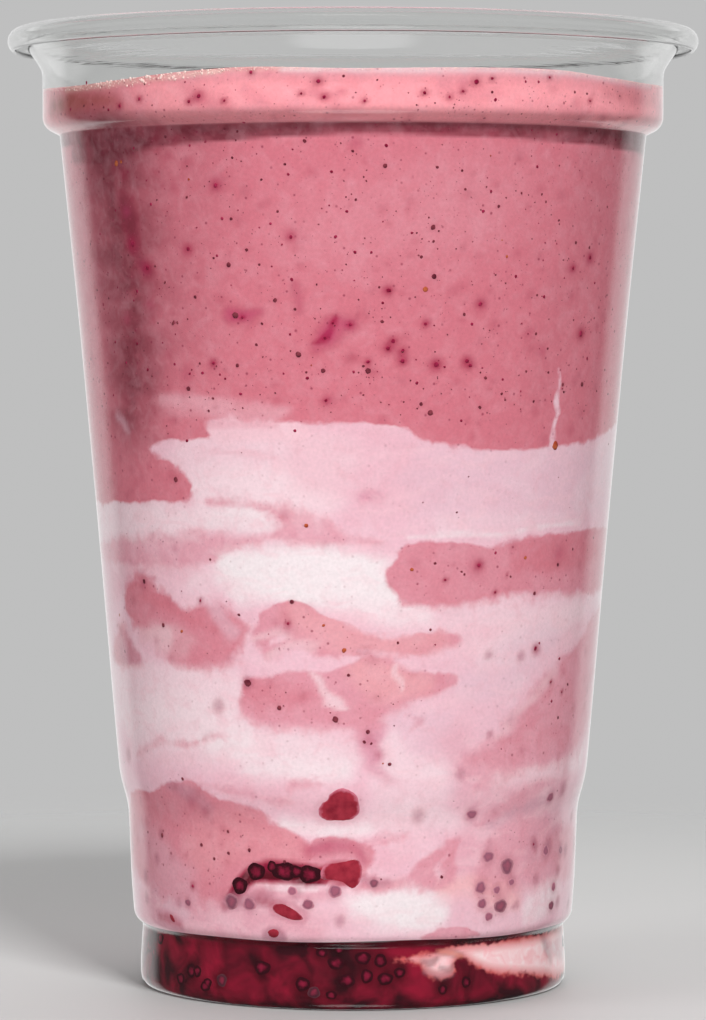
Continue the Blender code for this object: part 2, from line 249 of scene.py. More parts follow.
# Tongues of smoothie that show through the yogurt. Each is its outline of (angle, height), the
# softness of its upper and lower edges in millimetres, how deep its pink is, and its cover.
TONGUES = {
    "upper right": (
        ((6.5, 60), (8.5, 63.4), (13, 65), (20, 64.8), (30, 63.7), (40, 64.3), (52, 64.9), (66, 65.4),
         (84, 66), (96, 63), (92, 58.5), (76, 56.9), (60, 56.5), (40, 56.5), (22, 55.9), (10, 56.5)),
        0.6, 1.4, 0.55, 1,
    ),
    "left": (
        ((-63, 57.5), (-57, 59.3), (-50, 58.6), (-44, 57.2), (-40, 55.2), (-36, 56.6), (-32, 56.6),
         (-27, 55), (-25, 52), (-27, 49.3), (-32, 47.8), (-38, 47.2), (-44, 48), (-50, 49.3), (-57, 51),
         (-63, 53.5)),
        1.2, 2.2, 0.7, 1,
    ),
    "far left": (
        ((-76, 49), (-69, 52), (-63, 51), (-57, 48.5), (-58, 46.8), (-66, 46.3), (-74, 46.5)),
        1.4, 2, 0.65, 0.85,
    ),
    "centre": (
        ((-24, 52.5), (-20.5, 55.3), (-17, 56.6), (-13.5, 56.9), (-9.5, 56), (-5, 54), (0, 52.8),
         (6, 52.1), (12, 52.1), (19, 52.9), (23.5, 52.3), (25.3, 50.9), (22, 50), (15, 49.6), (10, 49.6),
         (6, 49.2), (1, 49.6), (-4, 49.4), (-8, 49.6), (-11, 50.8), (-14, 49.9), (-17, 48.5), (-21, 49.8)),
        0.5, 1.3, 0.3, 1,
    ),
    "middle": (
        ((-27, 44.5), (-24.5, 45.9), (-20, 46), (-15, 46.8), (-10, 46.8), (-6, 46.4), (-2, 47.5),
         (2, 49.4), (6, 49.2), (9, 48.2), (13, 47), (18, 46.9), (22.5, 46.8), (23.5, 45.8), (20, 44),
         (14, 42.7), (9, 41.2), (6, 40), (3, 38.3), (-3, 38.5), (-9, 39.2), (-15, 38.8), (-21, 39.6),
         (-26, 41.5)),
        0.8, 3, 0.35, 0.95,
    ),
    "right": (
        ((28, 34.5), (33, 37.3), (38, 39.8), (43, 42.3), (47, 45), (52, 46.6), (58, 48.2), (64, 50.5),
         (72, 53), (84, 54), (90, 48), (86, 40), (76, 36), (66, 34), (56, 33), (46, 32.6), (36, 32.2),
         (30, 32.6)),
        1.4, 4, 0.45, 0.85,
    ),
    "lower left": (
        ((-96, 22), (-84, 25.5), (-72, 27.6), (-62, 28.4), (-55, 29.4), (-49, 31), (-44, 31.8),
         (-40, 31.4), (-36, 29.6), (-30, 28.3), (-24, 27.8), (-20, 26.5), (-16, 25), (-12, 23.2),
         (-9, 21.5), (-12, 19), (-20, 18.5), (-27, 16.5), (-34, 14.5), (-44, 13.8), (-54, 14.2),
         (-64, 15.5), (-78, 17), (-90, 18)),
        0.7, 3.4, 0.68, 1,
    ),
    "over the fruit": (
        ((-11, 22.3), (-8, 23.4), (-3, 23.8), (2, 23.4), (3.4, 21.5), (2, 18), (-4, 18), (-11, 20)),
        0.7, 1, 0.6, 0.85,
    ),
    "low centre": (
        ((13, 18.2), (17, 20.2), (21, 21.8), (26, 23.4), (27.6, 21), (26.5, 18.4), (24, 16.6), (17, 16.6)),
        0.8, 1.4, 0.4, 0.85,
    ),
    "low right": (
        ((32, 17), (34, 21), (39, 24.4), (48, 25.8), (58, 25.2), (68, 24), (80, 22), (78, 17), (64, 16.3),
         (52, 15.7), (42, 15.3), (36, 14.8)),
        2.4, 3, 0.4, 0.5,
    ),
    "on the compote": (
        ((17, 9.3), (22, 10.8), (27, 11.4), (31, 11), (34, 9.3)),
        0.5, 0.5, 0.3, 0.85,
    ),
    "back upper": (
        ((108, 57.5), (118, 60.5), (132, 64.5), (146, 66), (160, 65), (174, 66.5), (190, 65.5),
         (197, 63.2), (188, 61.5), (172, 58), (156, 55.6), (138, 57.2), (122, 56)),
        0.6, 1.6, 0.5, 1,
    ),
    "back middle": (
        ((-166, 43), (-156, 45.5), (-142, 47), (-126, 48.8), (-110, 49.6), (-96, 48.6), (-92, 46),
         (-104, 42.5), (-120, 39.6), (-138, 38), (-154, 40)),
        0.8, 2.6, 0.4, 0.95,
    ),
    "back lower": (
        ((110, 23), (120, 27), (134, 31), (150, 31.6), (166, 28.5), (180, 25.5), (192, 22), (180, 18.5),
         (160, 17.5), (140, 18.8), (122, 20)),
        0.8, 3, 0.35, 0.9,
    ),
    "back left": (
        ((-178, 58), (-164, 60), (-150, 62.5), (-134, 61.5), (-118, 60), (-104, 61.5), (-96, 60),
         (-108, 56.5), (-126, 55.5), (-146, 56.4), (-164, 55)),
        0.8, 1.8, 0.5, 0.9,
    ),
}

# Thin runs of smoothie in the yogurt: stations of (angle, height, half thickness)
WISPS = (
    ((-84, 62, 1.2), (-62, 62.6, 2.3), (-46, 63, 2.6), (-36, 63.9, 2.2), (-30, 64.2, 1.6),
     (-24, 64.8, 0.8), (-18, 65.3, 0.7), (-12, 65.9, 1.7), (-6, 65.8, 1.7), (0, 65.5, 1), (5, 65, 0.4)),
    ((-32, 70, 0.8), (-24, 69.9, 0.6), (-18, 69.3, 0.8), (-12, 68.2, 1.2), (-6, 66.8, 1.2)),
    ((-39, 31.2, 0.3), (-30, 30.3, 0.5), (-22, 29.3, 0.4), (-15, 28.6, 0.1)),
    ((-14.5, 30.3, 0.3), (-11, 31.2, 0.7), (-8, 31.4, 0.2)),
    ((-64, 34.3, 0.1), (-54, 35.4, 0.3), (-46, 36, 0.4), (-40, 36.4, 0.1)),
    ((-38, 37, 0.1), (-35, 37.6, 0.45), (-31, 37.9, 0.1)),
    ((2, 18, 1.3), (8, 17.8, 1), (14, 18, 1)),
    ((3, 23.4, 0.3), (8, 24.2, 0.7), (13, 24.5, 0.2)),
    ((34, 26.6, 0.2), (42, 28.6, 0.8), (50, 30, 0.6), (58, 30.4, 0.2)),
    ((31, 24.5, 0.3), (38, 27, 0.7), (46, 28, 0.3)),
    ((14, 38.6, 0.1), (15, 40, 0.5), (13.6, 41.4, 0.1)),
    ((100, 40, 0.3), (122, 43, 1.4), (146, 41, 1.8), (168, 44, 0.4)),
    ((-150, 27, 0.4), (-130, 29, 1.6), (-110, 27, 1.4), (-96, 29, 0.3)),
)

# Yogurt that lies over the smoothie at the wall: stations of (angle, height, half thickness)
YOGURT_VEINS = (
    ((-48, 76.8, 0.6), (-44, 77, 1.5), (-39, 76.2, 2), (-33, 75.5, 3.4)),
    ((47.6, 77.5, 0.9), (47.1, 81.5, 0.5), (46.7, 85, 0.35), (46.5, 87.8, 0.15)),
    ((2, 50.2, 0.1), (6, 49.9, 0.3), (10, 49, 0.6), (16, 48.3, 0.9), (24, 48.4, 1.3), (32, 48.6, 2)),
    ((-17.6, 51.2, 0.5), (-16.6, 51.8, 0.7)),
    ((-30, 67.6, 1), (-26, 67.6, 1.2), (-21, 67.5, 0.9), (-17, 67.3, 0.2)),
    ((21, 16.9, 0.1), (22.4, 19, 0.25), (25, 21.6, 0.1)),
    ((120, 62.5, 0.2), (134, 61, 0.6), (150, 61.5, 0.2)),
)

# The tones that the drink's colour is blended from
TONES = {
    "white": (0.845, 0.75, 0.77),
    "milk": (0.87, 0.69, 0.73),
    "blush": (0.84, 0.53, 0.59),
    "lilac": (0.73, 0.50, 0.58),
    "rose": (0.73, 0.34, 0.41),
    "deep": (0.62, 0.172, 0.222),
    "peach": (0.84, 0.42, 0.42),
    "mauve": (0.40, 0.19, 0.25),
    "magenta": (0.52, 0.06, 0.155),
    "crimson": (0.33, 0.012, 0.05),
    "juice": (0.10, 0.006, 0.014),
    "red": (0.40, 0.03, 0.055),
    "bruise_and_shade": (0.175, 0.024, 0.04),
    "brown": (0.30, 0.07, 0.05),
    "straw": (0.90, 0.66, 0.56),
    "froth": (0.95, 0.355, 0.395),
    "coral": (0.86, 0.30, 0.22),
    "black": (0.012, 0.001, 0.002),
}

# Runs that tint the yogurt, the smoothie, and then both, in the order that they lie over each
# other: tone, share, blur in millimetres, and stations of (angle, height, half thickness)
YOGURT_TINTS = (
    ("milk", 0.4, 3, ((-36, 75, 3.5), (-24, 74, 4.5), (-14, 74, 4.5), (-7, 75, 3.5))),
    ("milk", 0.5, 2.5, ((-33, 71.4, 2.2), (-24, 71.4, 2.6), (-14, 71, 2.4), (-8, 70, 1.4))),
    ("blush", 0.8, 1, ((-31, 80.3, 1.2), (-22, 80.4, 1.4), (-12, 79.6, 1.2))),
    ("rose", 0.6, 0.6, ((-33, 81.3, 0.5), (-24, 81.6, 0.6), (-15, 80.8, 0.4))),
    ("rose", 0.35, 0.5, ((-31, 76.7, 0.2), (-22, 76.6, 0.3), (-15, 76.2, 0.1))),
    ("rose", 0.25, 3, ((-6, 75, 4), (4, 74.5, 5), (13, 73, 3.5))),
    ("magenta", 0.3, 1.2, ((0, 70.4, 0.3), (3, 71, 0.6), (5.5, 70.4, 0.2))),
    ("lilac", 0.4, 3, ((20, 72, 4.5), (34, 72.5, 5), (50, 72.5, 5), (70, 73, 4))),
    ("milk", 0.2, 1.5, ((20, 66.8, 0.8), (30, 67, 1), (40, 67.5, 1), (52, 67.6, 0.8))),
    ("white", 0.5, 0.4, ((10, 65.7, 0.1), (22, 65.9, 0.25), (34, 65.2, 0.25), (46, 66, 0.25),
        (60, 66.6, 0.2))),
    ("milk", 0.3, 2, ((60, 70, 2), (68, 74, 3), (76, 76, 4))),
    ("milk", 0.7, 2, ((-80, 66.6, 2.2), (-62, 66.8, 1.8), (-46, 67.2, 1.6), (-34, 67.4, 1.2))),
    ("white", 0.6, 1.5, ((-30, 67.4, 1), (-25, 67.6, 1.5), (-20, 67.5, 1.2), (-16, 67.2, 0.4))),
    ("rose", 0.4, 2, ((-70, 58, 2), (-60, 60, 1.2), (-50, 60.6, 1), (-40, 60.4, 1))),
    ("milk", 0.5, 2, ((-38, 59, 0.6), (-33, 59.8, 1.4), (-28, 60.4, 2.2))),
    ("white", 0.95, 2.4, ((-28, 61, 1.8), (-20, 60.6, 2.8), (-8, 60.4, 3), (1, 60, 2.4), (6, 58.4, 1.4))),
    ("white", 0.7, 2, ((-24, 57.4, 1), (-18, 58.8, 1.2), (-6, 57, 1), (6, 55.6, 1.4), (14, 55, 0.8))),
    ("milk", 0.35, 1.6, ((8, 54.2, 1.2), (24, 54.4, 1.2), (42, 54.4, 1), (60, 55, 1), (80, 56, 1))),
    ("blush", 0.5, 2, ((26, 51.5, 2), (38, 50.5, 3), (50, 51, 3), (62, 53, 2))),
    ("milk", 0.35, 1.5, ((30, 47.6, 0.6), (40, 51.4, 1), (52, 52.8, 1), (64, 54.4, 0.8))),
    ("lilac", 0.5, 2, ((28, 45, 2), (36, 47, 2.5), (44, 49.5, 2.5), (50, 51, 2))),
    ("milk", 0.6, 3, ((-74, 42, 4), (-58, 42.5, 4), (-44, 43.5, 3.5), (-32, 43.5, 3))),
    ("milk", 0.7, 3, ((-64, 38, 3), (-50, 38.6, 3.5), (-36, 38.4, 3.2), (-28, 37.4, 2.4))),
    ("white", 0.5, 3, ((-36, 36.6, 1.2), (-20, 36.4, 1.6), (-10, 35.8, 1.6), (-2, 35, 1))),
    ("white", 0.55, 2, ((-24, 33, 0.8), (-16, 33.4, 1.2), (-4, 33.4, 1))),
    ("rose", 0.3, 1.8, ((-30, 30.6, 1.2), (-20, 30, 1.4), (-12, 29.4, 1.2))),
    ("white", 0.7, 1.6, ((-17, 26, 0.6), (-10, 25.4, 1), (-2, 25.2, 1), (3, 26, 0.6))),
    ("milk", 0.4, 2, ((8, 31, 2.4), (16, 30, 2.6), (22, 31, 2))),
    ("magenta", 0.4, 1.8, ((0, 40.6, 0.8), (3.4, 38, 1.6), (6.5, 35, 1.2), (9, 32.6, 0.5))),
    ("lilac", 0.4, 2.5, ((12, 40, 2.5), (20, 37, 3), (26, 33, 2))),
    ("milk", 0.5, 1.6, ((10, 37, 1), (13, 34.5, 1.2), (20, 33, 1))),
    ("rose", 0.45, 3, ((24, 37, 2), (30, 33.5, 1.6), (38, 31.8, 0.8))),
    ("milk", 0.7, 1.6, ((36, 31.2, 0.4), (46, 31.7, 0.8), (58, 32, 1), (74, 33.4, 1.2))),
    ("rose", 0.4, 3, ((26, 33, 1), (36, 29.4, 2), (50, 29, 2), (64, 30, 1.6))),
    ("rose", 0.65, 3, ((30, 21, 2.5), (38, 19, 3.6), (48, 20.5, 4), (60, 21, 3.6), (76, 20.5, 3))),
    ("rose", 0.35, 2.5, ((30, 27, 1.6), (42, 27.5, 2), (56, 28, 2), (70, 28, 1.6))),
    ("mauve", 0.3, 1.5, ((34, 24.6, 0.5), (44, 27, 0.7), (56, 28.4, 0.6))),
    ("peach", 0.6, 1.6, ((22, 16.3, 0.8), (32, 16.6, 1), (40, 15.4, 1.4), (46, 14.2, 0.8))),
    ("mauve", 0.3, 2.5, ((52, 21, 1.6), (60, 22.5, 2), (68, 21.5, 1.4))),
    ("milk", 0.85, 1.6, ((50, 12, 1), (58, 13.6, 2), (64, 14.8, 1.4))),
    ("rose", 0.3, 1.5, ((2, 22, 1), (8, 20.8, 1.2), (14, 22, 1))),
    ("milk", 0.45, 1.8, ((2, 26, 0.6), (12, 26.6, 1.4), (20, 26.8, 1.4), (26, 26, 1))),
    ("white", 1, 2.6, ((1, 14.6, 1), (8, 14.4, 2.2), (16, 13.8, 2.2), (22, 13, 1))),
    ("rose", 0.75, 1.5, ((-25, 16.2, 1), (-16, 16.4, 1), (-8, 16, 0.8))),
    ("milk", 0.8, 0.8, ((-24, 17.6, 0.3), (-16, 17.3, 0.6), (-9, 17.3, 0.5))),
    ("rose", 0.7, 2.4, ((-70, 12, 2.4), (-56, 12, 2.2), (-42, 11.6, 2), (-32, 11.4, 1.6), (-20, 12.6, 1),
        (-8, 11.6, 0.6))),
    ("lilac", 0.5, 1.4, ((-62, 17, 1), (-56, 14, 1.2), (-48, 12.2, 0.8))),
    ("white", 0.8, 2.4, ((120, 50, 2.4), (150, 51, 3.4), (180, 48.5, 2.4))),
    ("white", 0.8, 2.4, ((-176, 33, 2.4), (-150, 34, 3.4), (-118, 33, 2.6))),
    ("white", 0.8, 2, ((110, 14, 1.6), (140, 13, 2.6), (170, 13.6, 1.8))),
    ("milk", 0.9, 2.5, ((-170, 68, 2), (-140, 69, 3), (-112, 66, 2))),
    ("rose", 0.5, 3, ((120, 70, 3), (150, 71, 3.5), (176, 71, 2))),
    ("rose", 0.6, 3, ((-160, 20, 3), (-130, 18, 3), (-100, 20, 2))),
    ("lilac", 0.6, 3, ((96, 34, 3), (130, 38, 3.5), (160, 36, 3))),
)
SMOOTHIE_TINTS = (
    ("blush", 0.12, 7, ((-8, 106, 2), (6, 108, 4), (20, 110, 5), (30, 112, 2))),
    # Paler pink round the collar and its shoulder slope: partly foam, partly painted light that brightens
    # the collar and its down-facing slope
    ("froth", 0.9, 1, ((-180, 125.4, 3.9), (-90, 125.4, 3.9), (0, 125.4, 3.9), (90, 125.4, 3.9),
        (180, 125.4, 3.9))),
    # Painted shade down the left side of the smoothie, darkest near its edge
    ("bruise_and_shade", 0.88, 8, ((-54, 82, 1.6), (-52, 90, 2.6), (-52, 104, 3.2), (-53, 112, 3.8),
        (-54, 119, 4.4))),
    ("bruise_and_shade", 0.2, 8, ((-38, 92, 2), (-37, 106, 4), (-36, 119, 5))),
    # Painted shadow of the collar's overhang on the smoothie under the shoulder, all round, reaching lower
    # towards the left
    ("bruise_and_shade", 0.88, 0.3, ((-180, 120.4, 0.9), (-90, 120.4, 0.9), (-40, 120, 1.3), (0, 120.6, 0.8),
        (45, 120.3, 1.1), (90, 119.8, 1.4), (180, 120.4, 0.9))),
    ("bruise_and_shade", 0.7, 0.8, ((-70, 118, 1), (-56, 118.4, 1.6), (-44, 119.4, 1.2), (-30, 120.2, 0.6))),
    # Faint painted shade down the right side of the smoothie
    ("bruise_and_shade", 0.08, 3, ((40, 84, 1), (46, 95, 2), (52, 104, 2.5), (54, 117, 2.5))),
    ("blush", 0.4, 1.2, ((-44, 83.4, 0.3), (-36, 83.2, 0.8), (-26, 82.6, 0.7), (-14, 82, 0.5))),
    ("peach", 0.35, 2, ((-14, 55, 1.5), (-4, 52.6, 1.4), (8, 51, 1.2), (20, 51.4, 1))),
    ("milk", 0.25, 1.6, ((-52, 51.6, 0.8), (-46, 50.8, 1.2), (-40, 49.8, 0.8))),
    ("milk", 0.35, 1.2, ((-57, 50.4, 0.8), (-48, 50.6, 1))),
    ("lilac", 0.5, 1.2, ((-34, 57, 0.6), (-31, 55, 1), (-29, 52, 1))),
    ("deep", 0.75, 1.8, ((-60, 58, 0.6), (-50, 57, 0.8), (-42, 55.4, 1), (-38, 53.6, 0.5))),
    ("deep", 0.8, 2, ((40, 62.2, 1.2), (54, 62.6, 1.8), (68, 62.8, 1.6))),
    ("deep", 0.6, 2, ((-28, 43, 1), (-25, 45, 0.8), (-20, 43.5, 1), (-14, 43.4, 0.5))),
    ("peach", 0.4, 1.6, ((2, 47, 1.4), (8, 45.4, 1.8), (16, 45.2, 1.2))),
    ("milk", 0.65, 0.6, ((-10.3, 46.9, 0.15), (-8.6, 45.2, 0.4), (-6.4, 43.9, 0.5), (-3, 43.1, 0.5),
        (-0.6, 42.3, 0.1))),
    ("milk", 0.5, 0.5, ((8, 48.2, 0.15), (9.4, 46.3, 0.25), (11.2, 44.4, 0.1))),
    ("lilac", 0.35, 0.8, ((-60.5, 82.2, 0.1), (-58, 81.2, 0.4), (-55.5, 79.6, 0.2))),
    ("milk", 0.4, 1, ((-17, 48.6, 0.5), (-13, 50.6, 0.8), (-8, 50.6, 0.4))),
    ("milk", 0.35, 0.8, ((-24, 50.6, 0.3), (-19, 52.4, 0.5), (-15, 52, 0.3))),
    ("mauve", 0.45, 1.4, ((-49, 30.4, 0.8), (-42, 29.2, 1.2), (-38, 27, 0.8))),
    ("mauve", 0.35, 1.6, ((-68, 48.6, 1.6), (-60, 48.4, 1.6))),
    ("lilac", 0.3, 2.4, ((-66, 21, 3), (-54, 18, 2.4), (-46, 16.5, 1.6))),
    ("peach", 0.2, 3, ((-40, 22, 3), (-28, 24, 2.6), (-18, 23, 1.8))),
    ("milk", 0.35, 1.2, ((36, 38.6, 0.4), (44, 42, 0.6), (54, 46.2, 0.5))),
)
OVER_TINTS = (
    ("crimson", 0.85, 0.35, ((-32, 15.4, 0.7), (-29, 17.2, 1.1), (-24.7, 18.9, 1.3), (-18, 19.2, 1.45),
        (-12, 18.9, 1.5), (-7.6, 18.8, 1.2))),
    ("juice", 1, 0.25, ((-32, 15.4, 0.3), (-29, 17.2, 0.7), (-24.7, 18.9, 0.9), (-18, 19.2, 1.1),
        (-12, 18.9, 1.15), (-7.6, 18.8, 0.9))),
    ("crimson", 0.6, 0.7, ((-22.5, 20, 0.6), (-20, 20.2, 0.6), (-18, 20, 0.5))),
    ("crimson", 0.55, 0.8, ((-34, 13.8, 0.4), (-31.5, 15.2, 0.8), (-29, 16.6, 0.8))),
    ("mauve", 0.4, 1.2, ((-30, 15.4, 0.4), (-26, 15.2, 0.8), (-21, 16, 0.5))),
    ("magenta", 0.5, 1, ((-11, 22.2, 0.5), (-6, 22.8, 0.7), (0, 22.8, 0.5), (2.6, 21, 0.3))),
    ("rose", 0.22, 1, ((-7.2, 27.6, 1.2), (-3.6, 28.2, 2), (-0.6, 28.4, 1.6))),
    ("red", 0.8, 0.5, ((-8.6, 19.1, 0.6), (-5, 19.4, 1.2), (-1.8, 19.2, 1.5))),
    ("rose", 0.8, 0.7, ((-19.5, 14.2, 0.9), (-16, 13.8, 1.1), (-13, 13, 0.7))),
    ("crimson", 0.5, 0.9, ((-24, 15, 0.3), (-21, 14.8, 0.5), (-18, 14.4, 0.5))),
    ("mauve", 0.5, 0.7, ((1, 18.6, 0.3), (5, 17.9, 0.4), (9, 17.8, 0.2))),
    ("crimson", 0.5, 1, ((-60, 11.2, 0.3), (-55, 11.2, 0.5), (-50, 10.6, 0.3))),
    ("mauve", 0.7, 0.7, ((-22.5, 10.4, 0.4), (-20.3, 10.6, 0.8), (-18, 10.2, 0.4))),
    ("magenta", 0.5, 1.5, ((-7, 91.4, 0.5), (-4.4, 93, 1.2), (-3, 94.2, 0.8), (-0.4, 94.2, 0.5))),
    ("crimson", 0.85, 0.45, ((-7.8, 91.8, 0.05), (-6, 92.2, 0.4), (-4.4, 93.6, 0.35), (-3.4, 95.2, 0.25))),
    ("magenta", 0.6, 1, ((-25, 95.5, 0.9), (-22, 95.6, 0.4), (-18.6, 96, 0.15))),
    ("magenta", 0.4, 1, ((-11.4, 99.6, 0.3), (-10.8, 97.6, 0.3), (-10.6, 96, 0.1))),
    ("bruise_and_shade", 0.8, 1.6, ((-51, 111.5, 0.4), (-49.5, 109.6, 1.2), (-49, 107.4, 0.8), (-48.5, 105, 0.7))),
    ("bruise_and_shade", 0.7, 1.2, ((-46.4, 102.6, 0.6), (-44.8, 101.6, 0.8))),
    ("milk", 0.3, 1.2, ((-34, 127.6, 0.3), (-20, 127.8, 0.6), (10, 127.7, 0.7), (40, 127.7, 0.6),
        (66, 127, 0.4))),
    ("magenta", 0.25, 1.2, ((-19, 125.6, 0.2), (-17, 124.4, 0.5), (-15.5, 123.8, 0.2))),
    ("magenta", 0.25, 1.2, ((-31, 126.4, 0.2), (-28, 124.8, 0.6), (-25, 123.6, 0.3))),
    ("magenta", 0.25, 1, ((-7, 125.2, 0.3), (-4, 124.6, 0.5), (-2, 125.4, 0.2))),
    ("magenta", 0.2, 1.4, ((16, 125.6, 0.3), (21, 124.8, 0.7), (26, 125.4, 0.3))),
    ("brown", 0.8, 2.6, ((-72, 124.8, 0.8), (-62, 125, 1.2), (-54, 125, 0.5), (-48, 124.8, 0.1))),
    ("straw", 0.6, 0.7, ((-64, 126.9, 0.2), (-50, 127.1, 0.4), (-38, 127.5, 0.4), (-24, 128.2, 0.2))),
    ("straw", 0.5, 0.6, ((-26, 128.4, 0.2), (-16, 128.5, 0.3), (-6, 128.4, 0.2))),
    ("milk", 0.75, 0.9, ((-12, 128.3, 0.2), (8, 128.3, 0.4), (24, 128.5, 0.4), (42, 128.5, 0.4),
        (58, 127.9, 0.4), (70, 127.6, 0.3))),
    ("brown", 0.25, 1.5, ((52, 126, 0.4), (62, 125.4, 0.6), (72, 125.6, 0.4))),
)
COMPOTE_TINTS = (
    ("coral", 0.7, 0.5, ((23, 7.9, 0.15), (26.5, 7.6, 0.35), (30, 7, 0.2))),
    ("bruise_and_shade", 0.5, 0.5, ((18.6, 6.6, 0.2), (20.6, 6.3, 0.4), (22.6, 6.9, 0.2))),
    ("bruise_and_shade", 0.45, 0.4, ((23.4, 5.6, 0.2), (26, 5.2, 0.35), (27.4, 5.9, 0.2))),
    ("rose", 0.5, 0.6, ((19, 5.2, 0.3), (23, 4.5, 0.3), (27, 4.6, 0.2))),
    ("lilac", 0.35, 1.2, ((64, 7, 0.4), (70, 6, 0.8), (80, 5.6, 1.6))),
    ("mauve", 0.35, 1.1, ((62, 8.2, 0.3), (64, 6.4, 0.4), (67, 4.6, 0.3))),
    # A dark line along the compote's top: partly the jelly's darker top, partly painted shadow under the
    # base ring's step
    ("black", 0.5, 0.6, ((-180, 9.6, 0.5), (-90, 9.6, 0.5), (0, 9.4, 0.5), (30, 9.5, 0.4), (90, 9.6, 0.3),
        (180, 9.6, 0.5))),
)


def smooth_line(points, closed=False, steps=5):
    """A smooth line through the points, the same amount of steps between each two."""
    points = np.array(points, float)
    if closed:
        before, a, b, after = (np.roll(points, shift, axis=0) for shift in (1, 0, -1, -2))
    else:
        ends = np.vstack([2 * points[0] - points[1], points, 2 * points[-1] - points[-2]])
        before, a, b, after = ends[:-3], ends[1:-2], ends[2:-1], ends[3:]
    t = (np.arange(steps) / steps)[:, None, None]
    bend = 2 * before - 5 * a + 4 * b - after + t * (3 * (a - b) + after - before)
    line = a + 0.5 * t * (b - before + t * bend)
    line = line.transpose(1, 0, 2).reshape(-1, points.shape[1])
    return line if closed else np.vstack([line, points[-1]])


def round_line(stations):
    """A smooth line of (angle, height) that goes right round the cup, back over its first station."""
    return smooth_line([*stations, (stations[0][0] + 360, stations[0][1])])


def near(spots, line):
    """The spots within reach of a line, turned to millimetres along the wall, and the line too."""
    middle_angle = (line[:, 0].min() + line[:, 0].max()) / 2
    angle = (spots[:, 0] - middle_angle + 180) % 360 - 180
    flat = np.column_stack([angle * MM_PER_DEGREE, spots[:, 1]])
    line = line.copy()
    line[:, 0] = (line[:, 0] - middle_angle) * MM_PER_DEGREE
    reach = FAR + (line[:, 2].max() if line.shape[1] > 2 else 0)
    low, high = line[:, :2].min(0) - reach, line[:, :2].max(0) + reach
    found = np.flatnonzero(((flat > low) & (flat < high)).all(1))
    return found, flat[found], line


def to_segments(flat, start, end):
    """For each spot and segment: the distance between them, and how far along the segment."""
    along = end - start
    reached = flat[:, None] - start
    share = np.clip((reached * along).sum(2) / np.maximum((along**2).sum(1), 1e-9), 0, 1)
    return np.linalg.norm(reached - share[..., None] * along, axis=2), share


def within_outline(spots, outline):
    """How far each spot lies inside a closed outline, less than 0 outside it, at most FAR away."""
    found, flat, line = near(spots, smooth_line(outline, closed=True))
    start, end = line, np.roll(line, -1, axis=0)
    away = to_segments(flat, start, end)[0].min(1)
    level = flat[:, 1:]
    crossed = (start[:, 1] > level) != (end[:, 1] > level)
    rise = np.where(end[:, 1] == start[:, 1], 1, end[:, 1] - start[:, 1])
    crossing = start[:, 0] + (end[:, 0] - start[:, 0]) * (level - start[:, 1]) / rise
    inside = (crossed & (flat[:, :1] < crossing)).sum(1) % 2 == 1
    result = np.full(len(spots), -FAR)
    result[found] = np.clip(np.where(inside, away, -away), -FAR, FAR)
    return result


def within_run(spots, stations):
    """How far each spot lies inside a run of changing thickness, less than 0 outside it."""
    found, flat, line = near(spots, smooth_line(stations))
    away, share = to_segments(flat, line[:-1, :2], line[1:, :2])
    half = line[:-1, 2] + (line[1:, 2] - line[:-1, 2]) * share
    result = np.full(len(spots), -FAR)
    result[found] = np.maximum((half - away).max(1), -FAR)
    return result


def above_line(spots, stations):
    """How far each spot lies above a line that goes right round the cup."""
    line = round_line(stations)
    # A few more stations at each end, so that both sides of the seam at the back are reached
    line = np.vstack([line[-25:] - (360, 0), line, line[:25] + (360, 0)])
    higher = spots[:, 1] - np.interp(spots[:, 0], line[:, 0], line[:, 1])
    result = np.clip(higher, -FAR, FAR)
    close = np.flatnonzero(np.abs(higher) < 14)
    flat = spots[close] * (MM_PER_DEGREE, 1)
    line = line * (MM_PER_DEGREE, 1)
    for part in np.array_split(np.arange(len(close)), 20):
        away = to_segments(flat[part], line[:-1], line[1:])[0].min(1)
        result[close[part]] = np.clip(np.copysign(away, higher[close[part]]), -FAR, FAR)
    return result


def eased(values, low, high):
    """0 below low, 1 above high and smooth between them."""
    share = np.clip((values - low) / (high - low), 0, 1)
    return share * share * (3 - 2 * share)


def stirred(spots):
    """The spots (angle, height) moved a little by waves of mixed lengths, as stirring leaves them."""
    turn = np.radians(spots[:, 0])
    place = np.column_stack([35 * np.sin(turn), 35 * np.cos(turn), spots[:, 1] * 1.4])
    draw = np.random.default_rng(17)
    moved = np.zeros((len(spots), 2))
    for wave in (11, 6, 3.4, 2):
        for _ in range(7):
            way = draw.normal(size=3)
            way *= 2 * math.pi / (wave * np.linalg.norm(way))
            swing = np.sin(place @ way + draw.uniform(0, 2 * math.pi))
            moved += swing[:, None] * draw.normal(size=2) * wave * (0.028, 0.011)
    return spots + moved * (1 - eased(spots[:, 1:], 108, 117))


